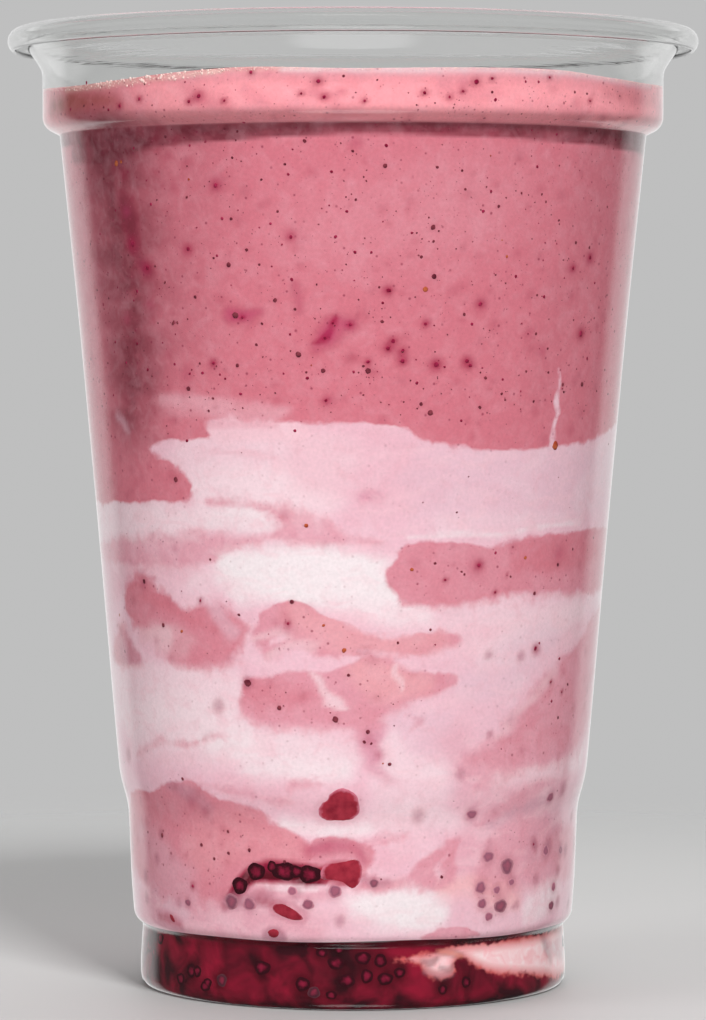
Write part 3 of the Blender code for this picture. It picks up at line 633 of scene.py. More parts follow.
def swirl_fields(spots):
    """At each spot (angle, height) of the side: how far it lies inside smoothie, how soft the
    nearest edge is, how deep the pink is, and how much it covers."""
    fields = np.zeros((len(spots), 4)) + (0, 0.7, 1, 1)
    fields[:, 0] = above_line(spots, SMOOTHIE_LINE)
    for outline, soft_top, soft_foot, deep, cover in TONGUES.values():
        inside = within_outline(spots, outline)
        levels = [z for _, z in outline]
        up = eased(spots[:, 1], min(levels), max(levels) * 0.7 + min(levels) * 0.3)
        wins = inside > np.maximum(fields[:, 0], -2.5)
        fields[wins, 1:] = deep
        fields[wins, 1] = (soft_foot + (soft_top - soft_foot) * up)[wins]
        fields[wins, 3] = cover
        fields[:, 0] = np.maximum(fields[:, 0], inside)
    for stations in WISPS:
        inside = within_run(spots, stations)
        wins = inside > np.maximum(fields[:, 0], -2)
        fields[wins, 1:] = (1.3, 0.3, 0.6)
        fields[:, 0] = np.maximum(fields[:, 0], inside)
    for stations in YOGURT_VEINS:
        fields[:, 0] = np.minimum(fields[:, 0], -within_run(spots, stations))
    return fields.T


def laid_over(ground, tone, cover):
    """The ground's colours with a tone over them. A fourth column adds up how much covers them."""
    over = np.ones(ground.shape[1])
    over[:3] = TONES[tone]
    return ground + (over - ground) * cover[:, None]


def tinted(spots, ground, tints):
    """The ground's colours with the tints laid over them."""
    for tone, share, blur, stations in tints:
        cover = share * eased(within_run(spots, stations), -blur, blur * 0.4)
        ground = laid_over(ground, tone, cover)
    return ground


# Spots on the drink's side where a bit of berry has bled into it or lies just behind the wall:
# (angle, height, half width in millimetres). Bled spots are crimson, veiled ones are grey mauve.
BLED_SPOTS = (
    (-24, 95.5, 1.2), (-49, 105.2, 1.3), (-50, 109.8, 1.1), (-45.5, 102, 1.4), (-34.5, 104.3, 1.1),
    (-5.6, 92.8, 1.5), (-3.8, 94.2, 1.4), (-0.8, 94.2, 1), (-26.5, 113.3, 1.6), (-12, 106.3, 1.3),
    (6.5, 98.8, 0.9), (7.2, 91.2, 1.1), (10, 89.8, 1.1), (16.8, 88.8, 1.2), (23.7, 89.1, 1),
    (26.3, 97, 1.2), (14.8, 94.5, 0.9), (38, 93, 1.2), (42, 90.6, 1), (49, 102, 1.1), (55, 103.4, 1.3),
    (0.5, 118.5, 1.2), (-36, 87.5, 1.3), (-29.5, 88.8, 1), (-5, 84, 1.2), (-21, 94.9, 1.5),
    (-45, 97, 1.2), (-53, 95, 1.2), (28, 61.2, 1.8), (52, 62.6, 1.6), (-14.5, 53.2, 1.2), (4, 37.8, 1.3),
    (6, 35.6, 1), (46.5, 49.2, 1), (30, 26.9, 1.3), (-43, 28.2, 1.2), (-39, 27, 1), (-24.5, 45.2, 0.8),
    (-54.5, 58.2, 1.2), (19.5, 126.6, 1), (-28, 124.6, 0.9), (-15, 127.8, 0.7),
)
VEILED_SPOTS = (
    (-14.4, 16.4, 1.2), (-11.2, 14.8, 1.1), (-4.5, 16.7, 1.4), (5, 17.8, 1), (16, 27, 1.2), (26, 32.7, 1),
    (35.8, 20.8, 1.5), (33.7, 16.6, 1.5), (43.8, 16.9, 1.2), (34.3, 14.3, 1.2), (36.6, 12.4, 1.2),
    (57, 28.2, 1.3), (42.1, 19.2, 1.9), (40.3, 13.7, 1.6), (38.9, 16, 1.2), (-31.8, 14.6, 1.4),
    (-26.5, 14.4, 1.4), (44.8, 13.4, 0.5), (62, 12.6, 1.1), (62.7, 15.2, 1.1), (66.3, 20.2, 1.3),
    (57.7, 20.6, 1.5), (-46.5, 13.9, 1), (52.8, 21.4, 0.8), (59, 21.2, 1.4), (70, 20, 1.2),
    (53.5, 16.8, 1), (52, 22.2, 1), (46, 13.6, 0.8), (65, 17.4, 0.9), (66, 12.8, 1), (-50, 13.7, 1),
    (-59.5, 19.4, 1), (-57, 23, 0.9), (-67, 16.4, 1.3), (-67, 13.4, 1.1), (-70, 33.5, 1.3), (32, 49, 0.8),
    (41.5, 48.6, 0.9), (-32.5, 42, 1.2), (-3.4, 12.6, 1), (63, 29, 1.2), (-33.6, 14.6, 1.3),
    (-30, 14.4, 1.1), (-27.2, 14.6, 1), (33.5, 38, 0.7), (30, 26.9, 1.1), (-24.5, 45.3, 0.9),
)


# Where the larger seeds, flecks of berry skin and bits of pith lie: (angle, height, half width)
DARK_SEEDS = (
    (-24, 95.5, 0.55), (-9, 118.8, 0.3), (6, 115.5, 0.36), (2, 114, 0.18), (-17.5, 113.7, 0.2),
    (29, 110.2, 0.26), (15.5, 107.3, 0.42), (-24, 108.5, 0.26), (-21, 104.3, 0.26), (-25, 102.3, 0.4),
    (-15.5, 97.5, 0.32), (-11.5, 96.3, 0.24), (-39, 94.4, 0.3), (-11, 90.2, 0.46), (3, 88, 0.46),
    (-6, 88, 0.36), (14, 83.5, 0.3), (16, 82.3, 0.46), (27, 83, 0.26), (-24, 88.7, 0.3), (-33, 98, 0.26),
    (40, 93, 0.24), (56, 86, 0.4), (49, 86, 0.3), (28, 87, 0.26), (-36, 85.5, 0.4), (-16, 85, 0.16),
    (33, 84, 0.2), (-30, 84.2, 0.22), (16, 100.7, 0.4), (-41, 73, 0.44), (-13.5, 56.6, 0.36),
    (-48, 52.7, 0.36), (-17, 42, 0.38), (-4, 40.5, 0.5), (-24.5, 45.3, 0.6), (8.5, 34.3, 0.3),
    (-1, 46.6, 0.26), (22.5, 18.4, 0.26), (-56.5, 22.8, 0.4), (-41, 22.2, 0.3), (-32.5, 24.4, 0.26),
    (-32.5, 21.4, 0.26), (-26.5, 22, 0.3), (3.4, 38.8, 0.34), (2.6, 37.4, 0.26), (4.2, 37.2, 0.22),
    (18, 61.8, 0.24), (25, 60.2, 0.2), (37, 59.7, 0.2), (44.5, 57.2, 0.32), (52, 61, 0.3), (10, 51, 0.22),
    (-54, 58.6, 0.4),
)
CRIMSON_FLECKS = (
    (-22.5, 95.2, 0.3), (-49, 105.3, 0.7), (-34, 104.5, 0.5), (7, 98.8, 0.5), (26, 97, 0.5),
    (-5.6, 92.4, 0.35), (-4, 94.4, 0.3), (-0.5, 94.2, 0.4), (14.5, 94.3, 0.36), (54, 93, 0.7),
    (7, 91, 0.5), (8, 92, 0.5), (10, 90.7, 0.44), (10, 89.3, 0.5), (17, 88.8, 0.6), (23.6, 89.3, 0.5),
    (24.4, 88.7, 0.44), (-29.5, 89, 0.4), (-5.5, 84, 0.36), (-27, 113, 0.5), (49.5, 102, 0.4),
    (55, 103.5, 0.5), (-45, 102, 0.5), (-12, 106, 0.4), (3, 89.2, 0.4), (-18, 127.9, 0.4),
    (-6, 126.6, 0.5), (-9, 125, 0.3), (22, 126.7, 0.6), (19.5, 125.4, 0.3), (-28, 124.9, 0.5),
    (-30, 124.2, 0.4), (-46, 124, 0.4), (25, 127.2, 0.36), (37, 127.6, 0.3), (-41, 124.8, 0.4),
    (-23, 124.2, 0.3), (-5, 124.5, 0.4), (12.5, 125.1, 0.4), (17, 124.6, 0.3), (47, 124.7, 0.3),
    (28.5, 61.4, 0.5), (20.5, 59.5, 0.3), (46, 49.5, 0.5), (-44.5, 16.3, 0.4), (-14.5, 53.6, 0.3),
    (52.5, 44.6, 0.3), (57.5, 43, 0.3), (-36, 56.4, 0.3), (52, 21.8, 0.34), (36, 59.9, 0.2),
    (33, 57.6, 0.3), (2, 124, 0.3),
)
ORANGE_BITS = (
    (14.3, 99, 0.36), (48, 77.6, 0.6), (-10, 67, 0.3), (-2, 50, 0.32), (-52, 116.4, 0.4),
    (12.8, 61, 0.26), (41, 62.2, 0.26), (-6.5, 53.4, 0.2), (-42, 52, 0.24),
)


def dabbed(spots, ground, marks, tone, share, power=2):
    """The ground's colours with a dab of the tone at each mark, flatter for a higher power."""
    for angle, height, half in marks:
        across = ((spots[:, 0] - angle + 180) % 360 - 180) * MM_PER_DEGREE
        up = spots[:, 1] - height
        close = np.flatnonzero((np.abs(across) < 4 * half) & (np.abs(up) < 4 * half))
        away = np.hypot(across[close], up[close]) / half
        ground[close] = laid_over(ground[close], tone, share * np.exp(-1.5 * away**power))
    return ground


def scattered_marks(count, low, high, smallest, largest, seed, start=74, end=286):
    """Marks strewn over a stretch of the side, which is the one out of the photograph's view
    unless another start and end are given."""
    draw = random.Random(seed)
    return [
        (draw.uniform(start, end), draw.uniform(low, high), draw.uniform(smallest, largest))
        for _ in range(count)
    ]


bled_spots = [
    *BLED_SPOTS,
    *scattered_marks(46, 84, 120, 0.8, 1.5, seed=3),
    *scattered_marks(10, 20, 66, 0.8, 1.6, seed=4),
]
faint_spots = scattered_marks(900, 20, 127, 0.4, 1.1, seed=8, start=-180, end=180)
veiled_spots = [
    *VEILED_SPOTS,
    *scattered_marks(44, 11, 31, 0.9, 1.4, seed=5),
    *scattered_marks(8, 34, 52, 0.8, 1.2, seed=6),
]


def drink_layer(name, low, high, steps, rows, columns, cap_rings, material):
    """A layer of the drink. low and high give its foot's and its top's height in millimetres at an
    angle in degrees and a share of the radius. Its side is fine enough to hold the swirls, and the
    steps, each a share of its rows and the height that they reach, crowd rows where the wall bends."""
    shares = [math.sin(math.pi / 2 * t) for t in np.linspace(0, 1, cap_rings + 1)[:-1]]
    side = [(1.0, t) for t in np.linspace(0, 1, rows + 1)]
    flat = [(s, 0.0) for s in shares] + side + [(s, 1.0) for s in shares[::-1]]
    bm = turned([(s / MM, t / MM) for s, t in flat], columns)
    made = piece(name, bm, material)
    mesh = made.data
    points = np.zeros(len(mesh.vertices) * 3)
    mesh.vertices.foreach_get("co", points)
    points = points.reshape(-1, 3)
    angle = np.degrees(np.arctan2(points[:, 0], -points[:, 1]))
    share = np.hypot(points[:, 0], points[:, 1])
    height = low(angle, share)
    stops = [(0, height), *steps, (1, high(angle, share))]
    along = points[:, 2]
    for (below, foot), (above, top) in zip(stops, stops[1:]):
        climbed = foot + (top - foot) * (along - below) / (above - below)
        height = np.where(along > below, climbed, height)
    radius = share * inside_radius(height, DRINK_INSET)
    turn = np.radians(angle)
    placed = np.column_stack([radius * np.sin(turn), -radius * np.cos(turn), height]) * MM
    mesh.vertices.foreach_set("co", placed.ravel())
    mesh.update()
    return made, np.column_stack([angle, height]), share


def set_field(made, name, values):
    """Keeps a value or a colour for each of the piece's points under the name."""
    kind, key = ("FLOAT", "value") if values.ndim == 1 else ("FLOAT_COLOR", "color")
    if values.shape[-1] == 3:
        values = np.column_stack([values, np.ones(len(values))])
    kept = made.data.attributes.new(name, kind, "POINT")
    kept.data.foreach_set(key, values.astype(np.float32).ravel())


def field(tree, name, output="Fac"):
    return add(tree, "Attribute", attribute_name=name).outputs[output]


def centred(tree, value, amount):
    """Turns a value round 0.5 to one round 0, the amount times as wide."""
    return maths(tree, "MULTIPLY", maths(tree, "SUBTRACT", value, 0.5), amount)


def edge_mask(tree, distance, half):
    """0 to 1 across an edge that is twice half wide."""
    return ramp(tree, distance, maths(tree, "MULTIPLY", half, -1), half, smooth=True)


def pulp_dots(tree, spacing, largest, share):
    """A mask of the finest pulp: soft dots of mixed sizes, about spacing millimetres apart."""
    place = add(tree, "TexCoord").outputs["Object"]
    cells = add(tree, "TexVoronoi", {"Vector": place, "Scale": 1 / (spacing * MM)}).outputs
    chance = add(tree, "SeparateXYZ", {0: cells["Color"]}).outputs[0]
    size = maths(tree, "MULTIPLY", maths(tree, "MULTIPLY", chance, chance), largest)
    core = maths(tree, "MULTIPLY", size, 0.35)
    return ramp(tree, cells["Distance"], size, core, end=share)


def drink_material():
    """Smoothie and yogurt: thick, opaque and wet, one running into the other along the fields."""
    made, tree, shader = start_material("smoothie_and_yogurt", 0.42, 0.05)

    lumps = grain(tree, 2.0, detail=5, distortion=0.5)
    broad = grain(tree, 8, stretch=(1, 1, 1.6), detail=3, distortion=0.8)
    fine = grain(tree, 0.45, detail=3)
    softness = field(tree, "softness")
    shift = centred(tree, lumps, maths(tree, "ADD", softness, 0.8))
    shift = maths(tree, "ADD", shift, centred(tree, grain(tree, 0.8, detail=2), 0.25))
    edge = maths(tree, "ADD", field(tree, "pink"), shift)
    is_pink = edge_mask(tree, edge, maths(tree, "MULTIPLY", softness, 0.6))
    cover = field(tree, "cover")
    uneven = maths(tree, "SUBTRACT", 2.4, maths(tree, "MULTIPLY", cover, 2))
    mottled = centred(tree, grain(tree, 3.2, detail=4, distortion=1.0), uneven)
    is_pink = maths(tree, "MULTIPLY", is_pink, maths(tree, "ADD", cover, mottled, True))

    smoothie = field(tree, "smoothie_tone", "Color")
    smoothie = blend(tree, ramp(tree, broad, 0.45, 0.75, end=0.4), smoothie, (*TONES["deep"], 1))
    smoothie = blend(tree, ramp(tree, lumps, 0.45, 0.8, end=0.14), smoothie, (*TONES["blush"], 1))

    yogurt = field(tree, "yogurt_tone", "Color")
    paleness = add(tree, "SeparateColor", {0: yogurt}).outputs[1]
    streaked = ramp(tree, paleness, 0.66, 0.8, 1, 0.2)
    yogurt = blend(tree, ramp(tree, broad, 0.5, 0.75, end=0.25), yogurt, (*TONES["milk"], 1))
    pinker = maths(tree, "MULTIPLY", ramp(tree, lumps, 0.5, 0.8, end=0.35), streaked)
    yogurt = blend(tree, pinker, yogurt, (*TONES["rose"], 1))
    drawn = grain(tree, 5, stretch=(1, 1, 2.4), detail=2, distortion=0.8)
    drawn = maths(tree, "MULTIPLY", ramp(tree, drawn, 0.52, 0.66, end=0.4), streaked)
    yogurt = blend(tree, drawn, yogurt, (*TONES["blush"], 1))

    colour = blend(tree, is_pink, yogurt, smoothie)
    ragged = maths(tree, "ADD", 0.5, lumps)
    ragged = maths(tree, "MULTIPLY", field(tree, "over", "Alpha"), ragged, True)
    colour = blend(tree, ragged, colour, field(tree, "over", "Color"))
    pulp = maths(tree, "ADD", 0.3, maths(tree, "MULTIPLY", is_pink, 0.7))
    dots = maths(tree, "MULTIPLY", pulp, pulp_dots(tree, 1.1, 0.26, 0.75))
    colour = blend(tree, dots, colour, (0.25, 0.025, 0.06, 1))
    dots = maths(tree, "MULTIPLY", pulp, pulp_dots(tree, 0.62, 0.3, 0.5))
    colour = blend(tree, dots, colour, (0.45, 0.09, 0.15, 1))
    light = maths(tree, "ADD", 1, centred(tree, fine, 0.24))
    colour = add(tree, "VectorMath", {0: colour, "Scale": light}, operation="SCALE").outputs[0]
    tree.links.new(colour, shader.inputs["Base Color"])
    return made


def smoothie_foot(angle, share):
    """The surface where the two layers part: level inside, on the smoothie's line at the wall."""
    return 79 + 2 * np.cos(np.radians(angle - 40)) * share


# How the smoothie's surface meets the wall, all round: (angle, height)
DRINK_RIM = (
    (-180, 128.4), (-150, 127.9), (-120, 128.3), (-90, 127.8), (-62, 127.2), (-46, 127.55), (-38, 127.95),
    (-30, 128.3), (-18, 128.65), (0, 128.35), (20, 128.6), (38, 128.7), (52, 128.1), (70, 127.8),
    (100, 128.3), (130, 127.8), (155, 128.5),
)


def compote_top(angle, share):
    turn = np.radians(angle)
    return COMPOTE_TOP + (0.12 * np.sin(3 * turn + 1) + 0.1 * np.sin(7 * turn)) * share


def drink_top(angle, share):
    """The poured top: a low spiral left by pouring, lumps, and a lift where it wets the wall."""
    turn = np.radians(angle)
    rim = np.interp((angle + 180) % 360 - 180, *round_line(DRINK_RIM).T)
    spiral = np.sin(turn + 11 * share**0.8) * 0.45 * np.sin(np.pi * np.clip(share, 0, 1)) ** 0.6
    lumps = 0.22 * np.sin(3 * turn + 9 * share) * np.sin(17 * share + 2 * turn) * share * (1 - share**6)
    hollow = -0.5 * (1 - share**2)
    middle = DRINK_TOP - 0.4 + hollow + spiral + lumps
    return middle + (rim - middle) * eased(share, 0.9, 1.0)


def floor(angle, share):
    """The cup's inner floor: level over the recessed panel, lower in the foot ring round it."""
    return DRINK_FLOOR - (DRINK_FLOOR - DRINK_INSET) * eased(share, 0.865, 0.91)


drink_look = drink_material()
smoothie, smoothie_spots, smoothie_share = drink_layer(
    "smoothie_layer", smoothie_foot, drink_top, steps=((0.79, 120.8), (0.9, 123.4)),
    rows=112, columns=540, cap_rings=36, material=drink_look,
)
yogurt, yogurt_spots, yogurt_share = drink_layer(
    "yogurt_layer", compote_top, smoothie_foot, steps=((0.06, 10.9),),
    rows=150, columns=480, cap_rings=3, material=drink_look,
)
stains = [(angle, height, half * 1.7) for angle, height, half in CRIMSON_FLECKS]
shades = [(angle, height, half * 1.6) for angle, height, half in DARK_SEEDS if half > 0.25]
rose, deep, blush, lilac = (np.array(TONES[tone]) for tone in ("rose", "deep", "blush", "lilac"))
yogurt_ground = (blush * 0.65 + lilac * 0.35) * (1, 0.93, 0.96)
within = deep * 0.7 + blush * 0.3
layers = (smoothie, smoothie_spots, smoothie_share), (yogurt, yogurt_spots, yogurt_share)
for layer, spots, share in layers:
    moved = stirred(spots)
    pink, softness, depth, cover = swirl_fields(moved)
    set_field(layer, "pink", pink)
    set_field(layer, "softness", softness)
    set_field(layer, "cover", cover)
    tone = tinted(moved, rose + (deep - rose) * depth[:, None], SMOOTHIE_TINTS)
    set_field(layer, "smoothie_tone", within + (tone - within) * eased(share, 0.8, 1)[:, None])
    set_field(layer, "yogurt_tone", tinted(moved, np.tile(yogurt_ground, (len(spots), 1)), YOGURT_TINTS))

    over = tinted(spots, np.tile((*TONES["crimson"], 0), (len(spots), 1)), OVER_TINTS)
    over = dabbed(spots, over, bled_spots, "magenta", 0.38)
    faint = np.tile((*TONES["magenta"], 0), (len(spots), 1))
    faint = dabbed(spots, faint, faint_spots, "magenta", 0.25)
    over[:, 3] += faint[:, 3] * eased(pink, -2, 1) * (1 - over[:, 3])
    over = dabbed(spots, over, stains, "crimson", 0.85)
    over = dabbed(spots, over, shades, "crimson", 0.3)
    over = dabbed(spots, over, veiled_spots, "mauve", 0.5, power=3)
    over[:, 3] *= eased(share, 0.97, 1)
    set_field(layer, "over", over)
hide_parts("smoothie")
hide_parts("yogurt", *[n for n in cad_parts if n.startswith("smoothie_tongue")])


# The compote in the base ring is dark, glossy berry jelly. Cream has run down one side of it and
# lies against the wall as a pale pocket with ragged, stained edges.

CREAM_OUTLINE = (
    (11, 6.9), (15, 7.4), (20, 7.7), (25, 8.2), (34, 8.6), (50, 8.5), (66, 8.6), (84, 8.4), (97, 6),
    (88, 2.6), (76, 1.6), (64, 2.2), (54, 3.1), (46, 3.7), (39, 4.4), (34, 5.4), (30, 6.8), (27.8, 6.2),
    (27.8, 4.7), (24, 4.1), (20, 4.7), (17, 6.3),
)
# Drupelets that lie against the wall in the compote: (angle, height, half width, paleness)
BASE_DRUPELETS = (
    (-8.2, 8, 1, 0), (-4.4, 6.6, 1.35, 0), (2.6, 7.3, 1.3, 0), (7.2, 6.9, 1.2, 0), (-1.6, 4.2, 1.3, 0),
    (8.4, 4.4, 1.25, 0), (-13.2, 3.6, 1.3, 0), (-10.2, 2.5, 1.1, 0.01), (3.6, 4.8, 1.2, 0),
    (-36.8, 3.4, 1.15, 0.01), (-24.4, 5.6, 1.4, 0), (-3.6, 8.4, 0.8, 0), (12.2, 5.2, 1, 0),
    (-48, 4.2, 1.2, 0), (31, 3.4, 1, 0), (-5.6, 2.2, 0.9, 0), (24, 2.6, 0.9, 0),
)
CREAM_STREAK = ((-168, 4, 0.4), (-150, 5.4, 1.2), (-132, 4.6, 0.3))


def compote_material():
    made, tree, shader = start_material("berry_compote", 0.25, 0.05)
    depth = ramp(tree, grain(tree, 5, detail=3, distortion=0.6), 0.38, 0.66)
    jelly = blend(tree, depth, (0.036, 0.004, 0.008, 1), (0.255, 0.008, 0.028, 1))
    edge = maths(tree, "ADD", field(tree, "cream"), centred(tree, grain(tree, 0.9, detail=3), 1.6))
    edge = maths(tree, "ADD", edge, centred(tree, grain(tree, 2.4, detail=3), 1.6))
    curds = ramp(tree, grain(tree, 1.8, detail=3, distortion=0.6), 0.3, 0.7)
    cream = blend(tree, curds, (0.95, 0.76, 0.77, 1), (0.87, 0.44, 0.47, 1))
    thick = maths(tree, "ADD", field(tree, "cream"), centred(tree, curds, 0.6))
    cream = blend(tree, ramp(tree, thick, -0.1, 1.5), (0.62, 0.11, 0.11, 1), cream)
    colour = blend(tree, edge_mask(tree, edge, 0.4), jelly, cream)
    colour = blend(tree, field(tree, "over", "Alpha"), colour, field(tree, "over", "Color"))
    tree.links.new(colour, shader.inputs["Base Color"])
    return made


compote, compote_spots, compote_share = drink_layer(
    "compote_layer", floor, compote_top, steps=((0.75, 8.4),),
    rows=32, columns=480, cap_rings=3, material=compote_material(),
)
cream = within_outline(compote_spots, CREAM_OUTLINE)
cream = np.maximum(cream, within_run(compote_spots, CREAM_STREAK))
cream[compote_share < 0.99] = -FAR
set_field(compote, "cream", cream)
shades = [(angle, height, half * 1.5) for angle, height, half, _ in BASE_DRUPELETS]
over = np.tile((*TONES["black"], 0), (len(compote_spots), 1))
over = tinted(compote_spots, over, COMPOTE_TINTS)
over = dabbed(compote_spots, over, shades, "black", 0.75)
over[:, 3] *= eased(compote_share, 0.97, 1)
set_field(compote, "over", over)
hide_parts("compote", "cream_pocket")


# Seeds, flecks of berry skin and bits of pith are blended all through the drink. Those that lie
# against the wall are separate small bodies, flattened and set a tenth of a millimetre into it.

SPECK_DEPTH = 0.07


def scattered(draw, count, low, high, smallest, largest):
    """Marks strewn round the side, more of them small than large."""
    marks = []
    for _ in range(count):
        half = smallest + (largest - smallest) * draw.random() ** 3
        marks.append((draw.uniform(-180, 180), draw.uniform(low, high), half))
    return marks


def within_smoothie(marks):
    """The marks that lie where smoothie shows, and one in seven of the others."""
    pink = swirl_fields(np.array([mark[:2] for mark in marks]))[0]
    return [mark for n, mark in enumerate(marks) if pink[n] > -0.3 or n % 7 == 0]


def on_wall(angle, height, out=0.0):
    """The place on the drink's side, and the turn that brings local Z out of it and local Y up it."""
    turn = math.radians(angle)
    low, middle, high = inside_radius((height - 0.5, height, height + 0.5), DRINK_INSET)
    lean = math.atan2(high - low, 1)
    up = Vector((math.sin(lean) * math.sin(turn), -math.sin(lean) * math.cos(turn), math.cos(lean)))
    side = Vector((math.cos(turn), math.sin(turn), 0))
    outward = side.cross(up)
    basis = Matrix((side, up, outward)).transposed().to_4x4()
    place = Vector((middle * math.sin(turn), -middle * math.cos(turn), height)) + outward * out
    return Matrix.Translation(place * MM) @ basis


def speck_material(name, first, second, roughness):
    """A wet bit of berry, darker in some parts than in others."""
    made, tree, shader = start_material(name, roughness, 0.1)
    share = ramp(tree, grain(tree, 0.8), 0.35, 0.65)
    tree.links.new(blend(tree, share, (*first, 1), (*second, 1)), shader.inputs["Base Color"])
    return made


def template(make, **settings):
    """The points of a round body of radius 1 made by a bmesh operator, and its mesh."""
    bm = bmesh.new()
    make(bm, radius=1, **settings)
    mesh = bpy.data.meshes.new("template")
    bm.to_mesh(mesh)
    bm.free()
    return np.array([vert.co for vert in mesh.vertices]), mesh


def put(bm, body, points, matrix):
    """Adds the template to the bmesh with its points reshaped and then placed by the matrix."""
    body.vertices.foreach_set("co", points.ravel())
    body.transform(matrix)
    bm.from_mesh(body)


def specks(name, marks, material, seed, uneven=0.12):
    """One piece that holds a flattened, uneven little body at each mark."""
    draw = random.Random(seed)
    small, small_body = template(bmesh.ops.create_icosphere, subdivisions=1)
    large, large_body = template(bmesh.ops.create_icosphere, subdivisions=2)
    bm = bmesh.new()
    for angle, height, half in marks:
        points, body = (small, small_body) if half < 0.16 else (large, large_body)
        long = draw.uniform(1.0, 1.18)
        spin = Matrix.Rotation(draw.uniform(0, math.pi), 4, "Z")
        size = Matrix.Diagonal((half * long, half / long**0.5, SPECK_DEPTH, 1 / MM)) * MM
        bumps = np.array([draw.uniform(1 - uneven, 1 + uneven) for _ in points])[:, None]
        bumpy = points * np.hstack([bumps, bumps, np.ones_like(bumps)])
        put(bm, body, bumpy, on_wall(angle, height) @ spin @ size)
    piece(name, bm, material, sharp=180)


draw = random.Random(11)
dark = [(angle, height, half * 0.85) for angle, height, half in DARK_SEEDS]
dark += within_smoothie(scattered(draw, 560, 12, 127.5, 0.06, 0.24))
dark += scattered(draw, 1700, 82, 127.5, 0.05, 0.2)
crimson = within_smoothie(scattered(draw, 400, 14, 127.5, 0.07, 0.24))
crimson += scattered(draw, 700, 83, 127.5, 0.06, 0.24)
crimson += [(angle, height, half * 0.55) for angle, height, half in CRIMSON_FLECKS]
orange = [*ORANGE_BITS, *within_smoothie(scattered(draw, 26, 30, 120, 0.12, 0.24))]
seed_look = speck_material("seed", (0.11, 0.013, 0.026), (0.22, 0.038, 0.055), 0.4)
skin_look = speck_material("skin", (0.20, 0.004, 0.03), (0.34, 0.02, 0.07), 0.4)
pith_look = speck_material("pith", (0.36, 0.05, 0.02), (0.50, 0.13, 0.05), 0.4)
specks("dark_seeds", dark, seed_look, seed=1)
specks("crimson_flecks", crimson, skin_look, seed=2)
specks("orange_bits", orange, pith_look, seed=3)


# Froth clings to the wall where the smoothie ends: fine pale bubbles, most of them at the left.

draw = random.Random(13)
rim_line = round_line(DRINK_RIM).T
froth = []
for _ in range(2400):
    angle = draw.uniform(-180, 180)
    thick = 0.3 + 0.9 * math.exp(-(((angle + 42) / 18) ** 2))
    down = 0.05 + thick * draw.random() ** 1.7
    half = 0.05 + 0.17 * thick * draw.random() ** 3
    froth.append((angle, np.interp(angle, *rim_line) - down, half))
froth_look = speck_material("froth", (0.92, 0.56, 0.53), (0.93, 0.74, 0.68), 0.3)
specks("froth_bubbles", froth, froth_look, seed=4, uneven=0.04)


# Drupelets, the small beads that berries are made of, lie against the wall in the compote and in
# an arc above it, some whole, painted bright red in the middle as light shining through them and
# dark at the edge, others bled pale. Each is a flattened, uneven bead that is sunk in the drink,
# all but its face.

# A bead's half thickness, the power that blunts it, and how deep its middle lies in the drink, in
# which a bled one lies a little deeper
BEAD_DEPTH = 0.4
BEAD_POWER = 0.55
BEAD_SUNK = 0.32
BLED_DEEPER = 0.05

# Where the ones that can be made out lie: (angle, height, half width, paleness)
ARC_DRUPELETS = (
    (-29.4, 17, 1.55, 0), (-24.7, 19.1, 1.65, 0), (-20.4, 19.9, 1, 0), (-17.2, 19.3, 1.9, 0),
    (-10.8, 19, 1.8, 0), (-14, 19.3, 1.2, 0), (-31.9, 14.7, 1.55, 0.35),
)
PALE_DRUPELETS = (
    (42.1, 19.2, 1.7, 0.45), (40.3, 13.7, 1.45, 0.35), (35.8, 20.8, 1.5, 0.8), (33.7, 16.6, 1.5, 0.75),
    (38.9, 16, 1.2, 1), (43.8, 16.9, 1.1, 1), (34.3, 14.3, 1.2, 0.7), (36.6, 12.4, 1.2, 0.9),
    (5.2, 17.8, 0.9, 0.4), (62, 12.6, 1, 0.4), (66.3, 20.2, 1.3, 1), (57, 28.2, 1.3, 0.8),
    (-46.5, 13.9, 0.9, 0.6), (-26.8, 14.5, 1.5, 0.65), (-11.2, 14.8, 1.2, 0.6), (-4.5, 16.7, 1.5, 0.7),
    (30.2, 26.9, 1.3, 0.8), (62.7, 15.2, 1.2, 1), (57.7, 20.6, 1.5, 1), (-15.2, 16.6, 1.3, 1),
)


def drupelet_material():
    made, tree, shader = start_material("drupelet", 0.3, 0.05)
    core = centred(tree, grain(tree, 0.6, detail=3), 1.0)
    core = maths(tree, "ADD", field(tree, "core"), core)
    rim = ramp(tree, core, 0, 0.5)
    core = ramp(tree, core, 0.5, 1.1)
    # A whole bead is painted with the light that shines through it: bright red in the middle, dark at the
    # edge
    ripe_lit_through = blend(tree, core, (0.030, 0.002, 0.006, 1), (0.23, 0.010, 0.036, 1))
    bled = blend(tree, core, (0.32, 0.11, 0.17, 1), (0.42, 0.13, 0.19, 1))
    bled = blend(tree, rim, (0.66, 0.27, 0.34, 1), bled)
    paleness = maths(tree, "POWER", field(tree, "paleness"), 0.5)
    tree.links.new(blend(tree, paleness, ripe_lit_through, bled), shader.inputs["Base Color"])
    return made


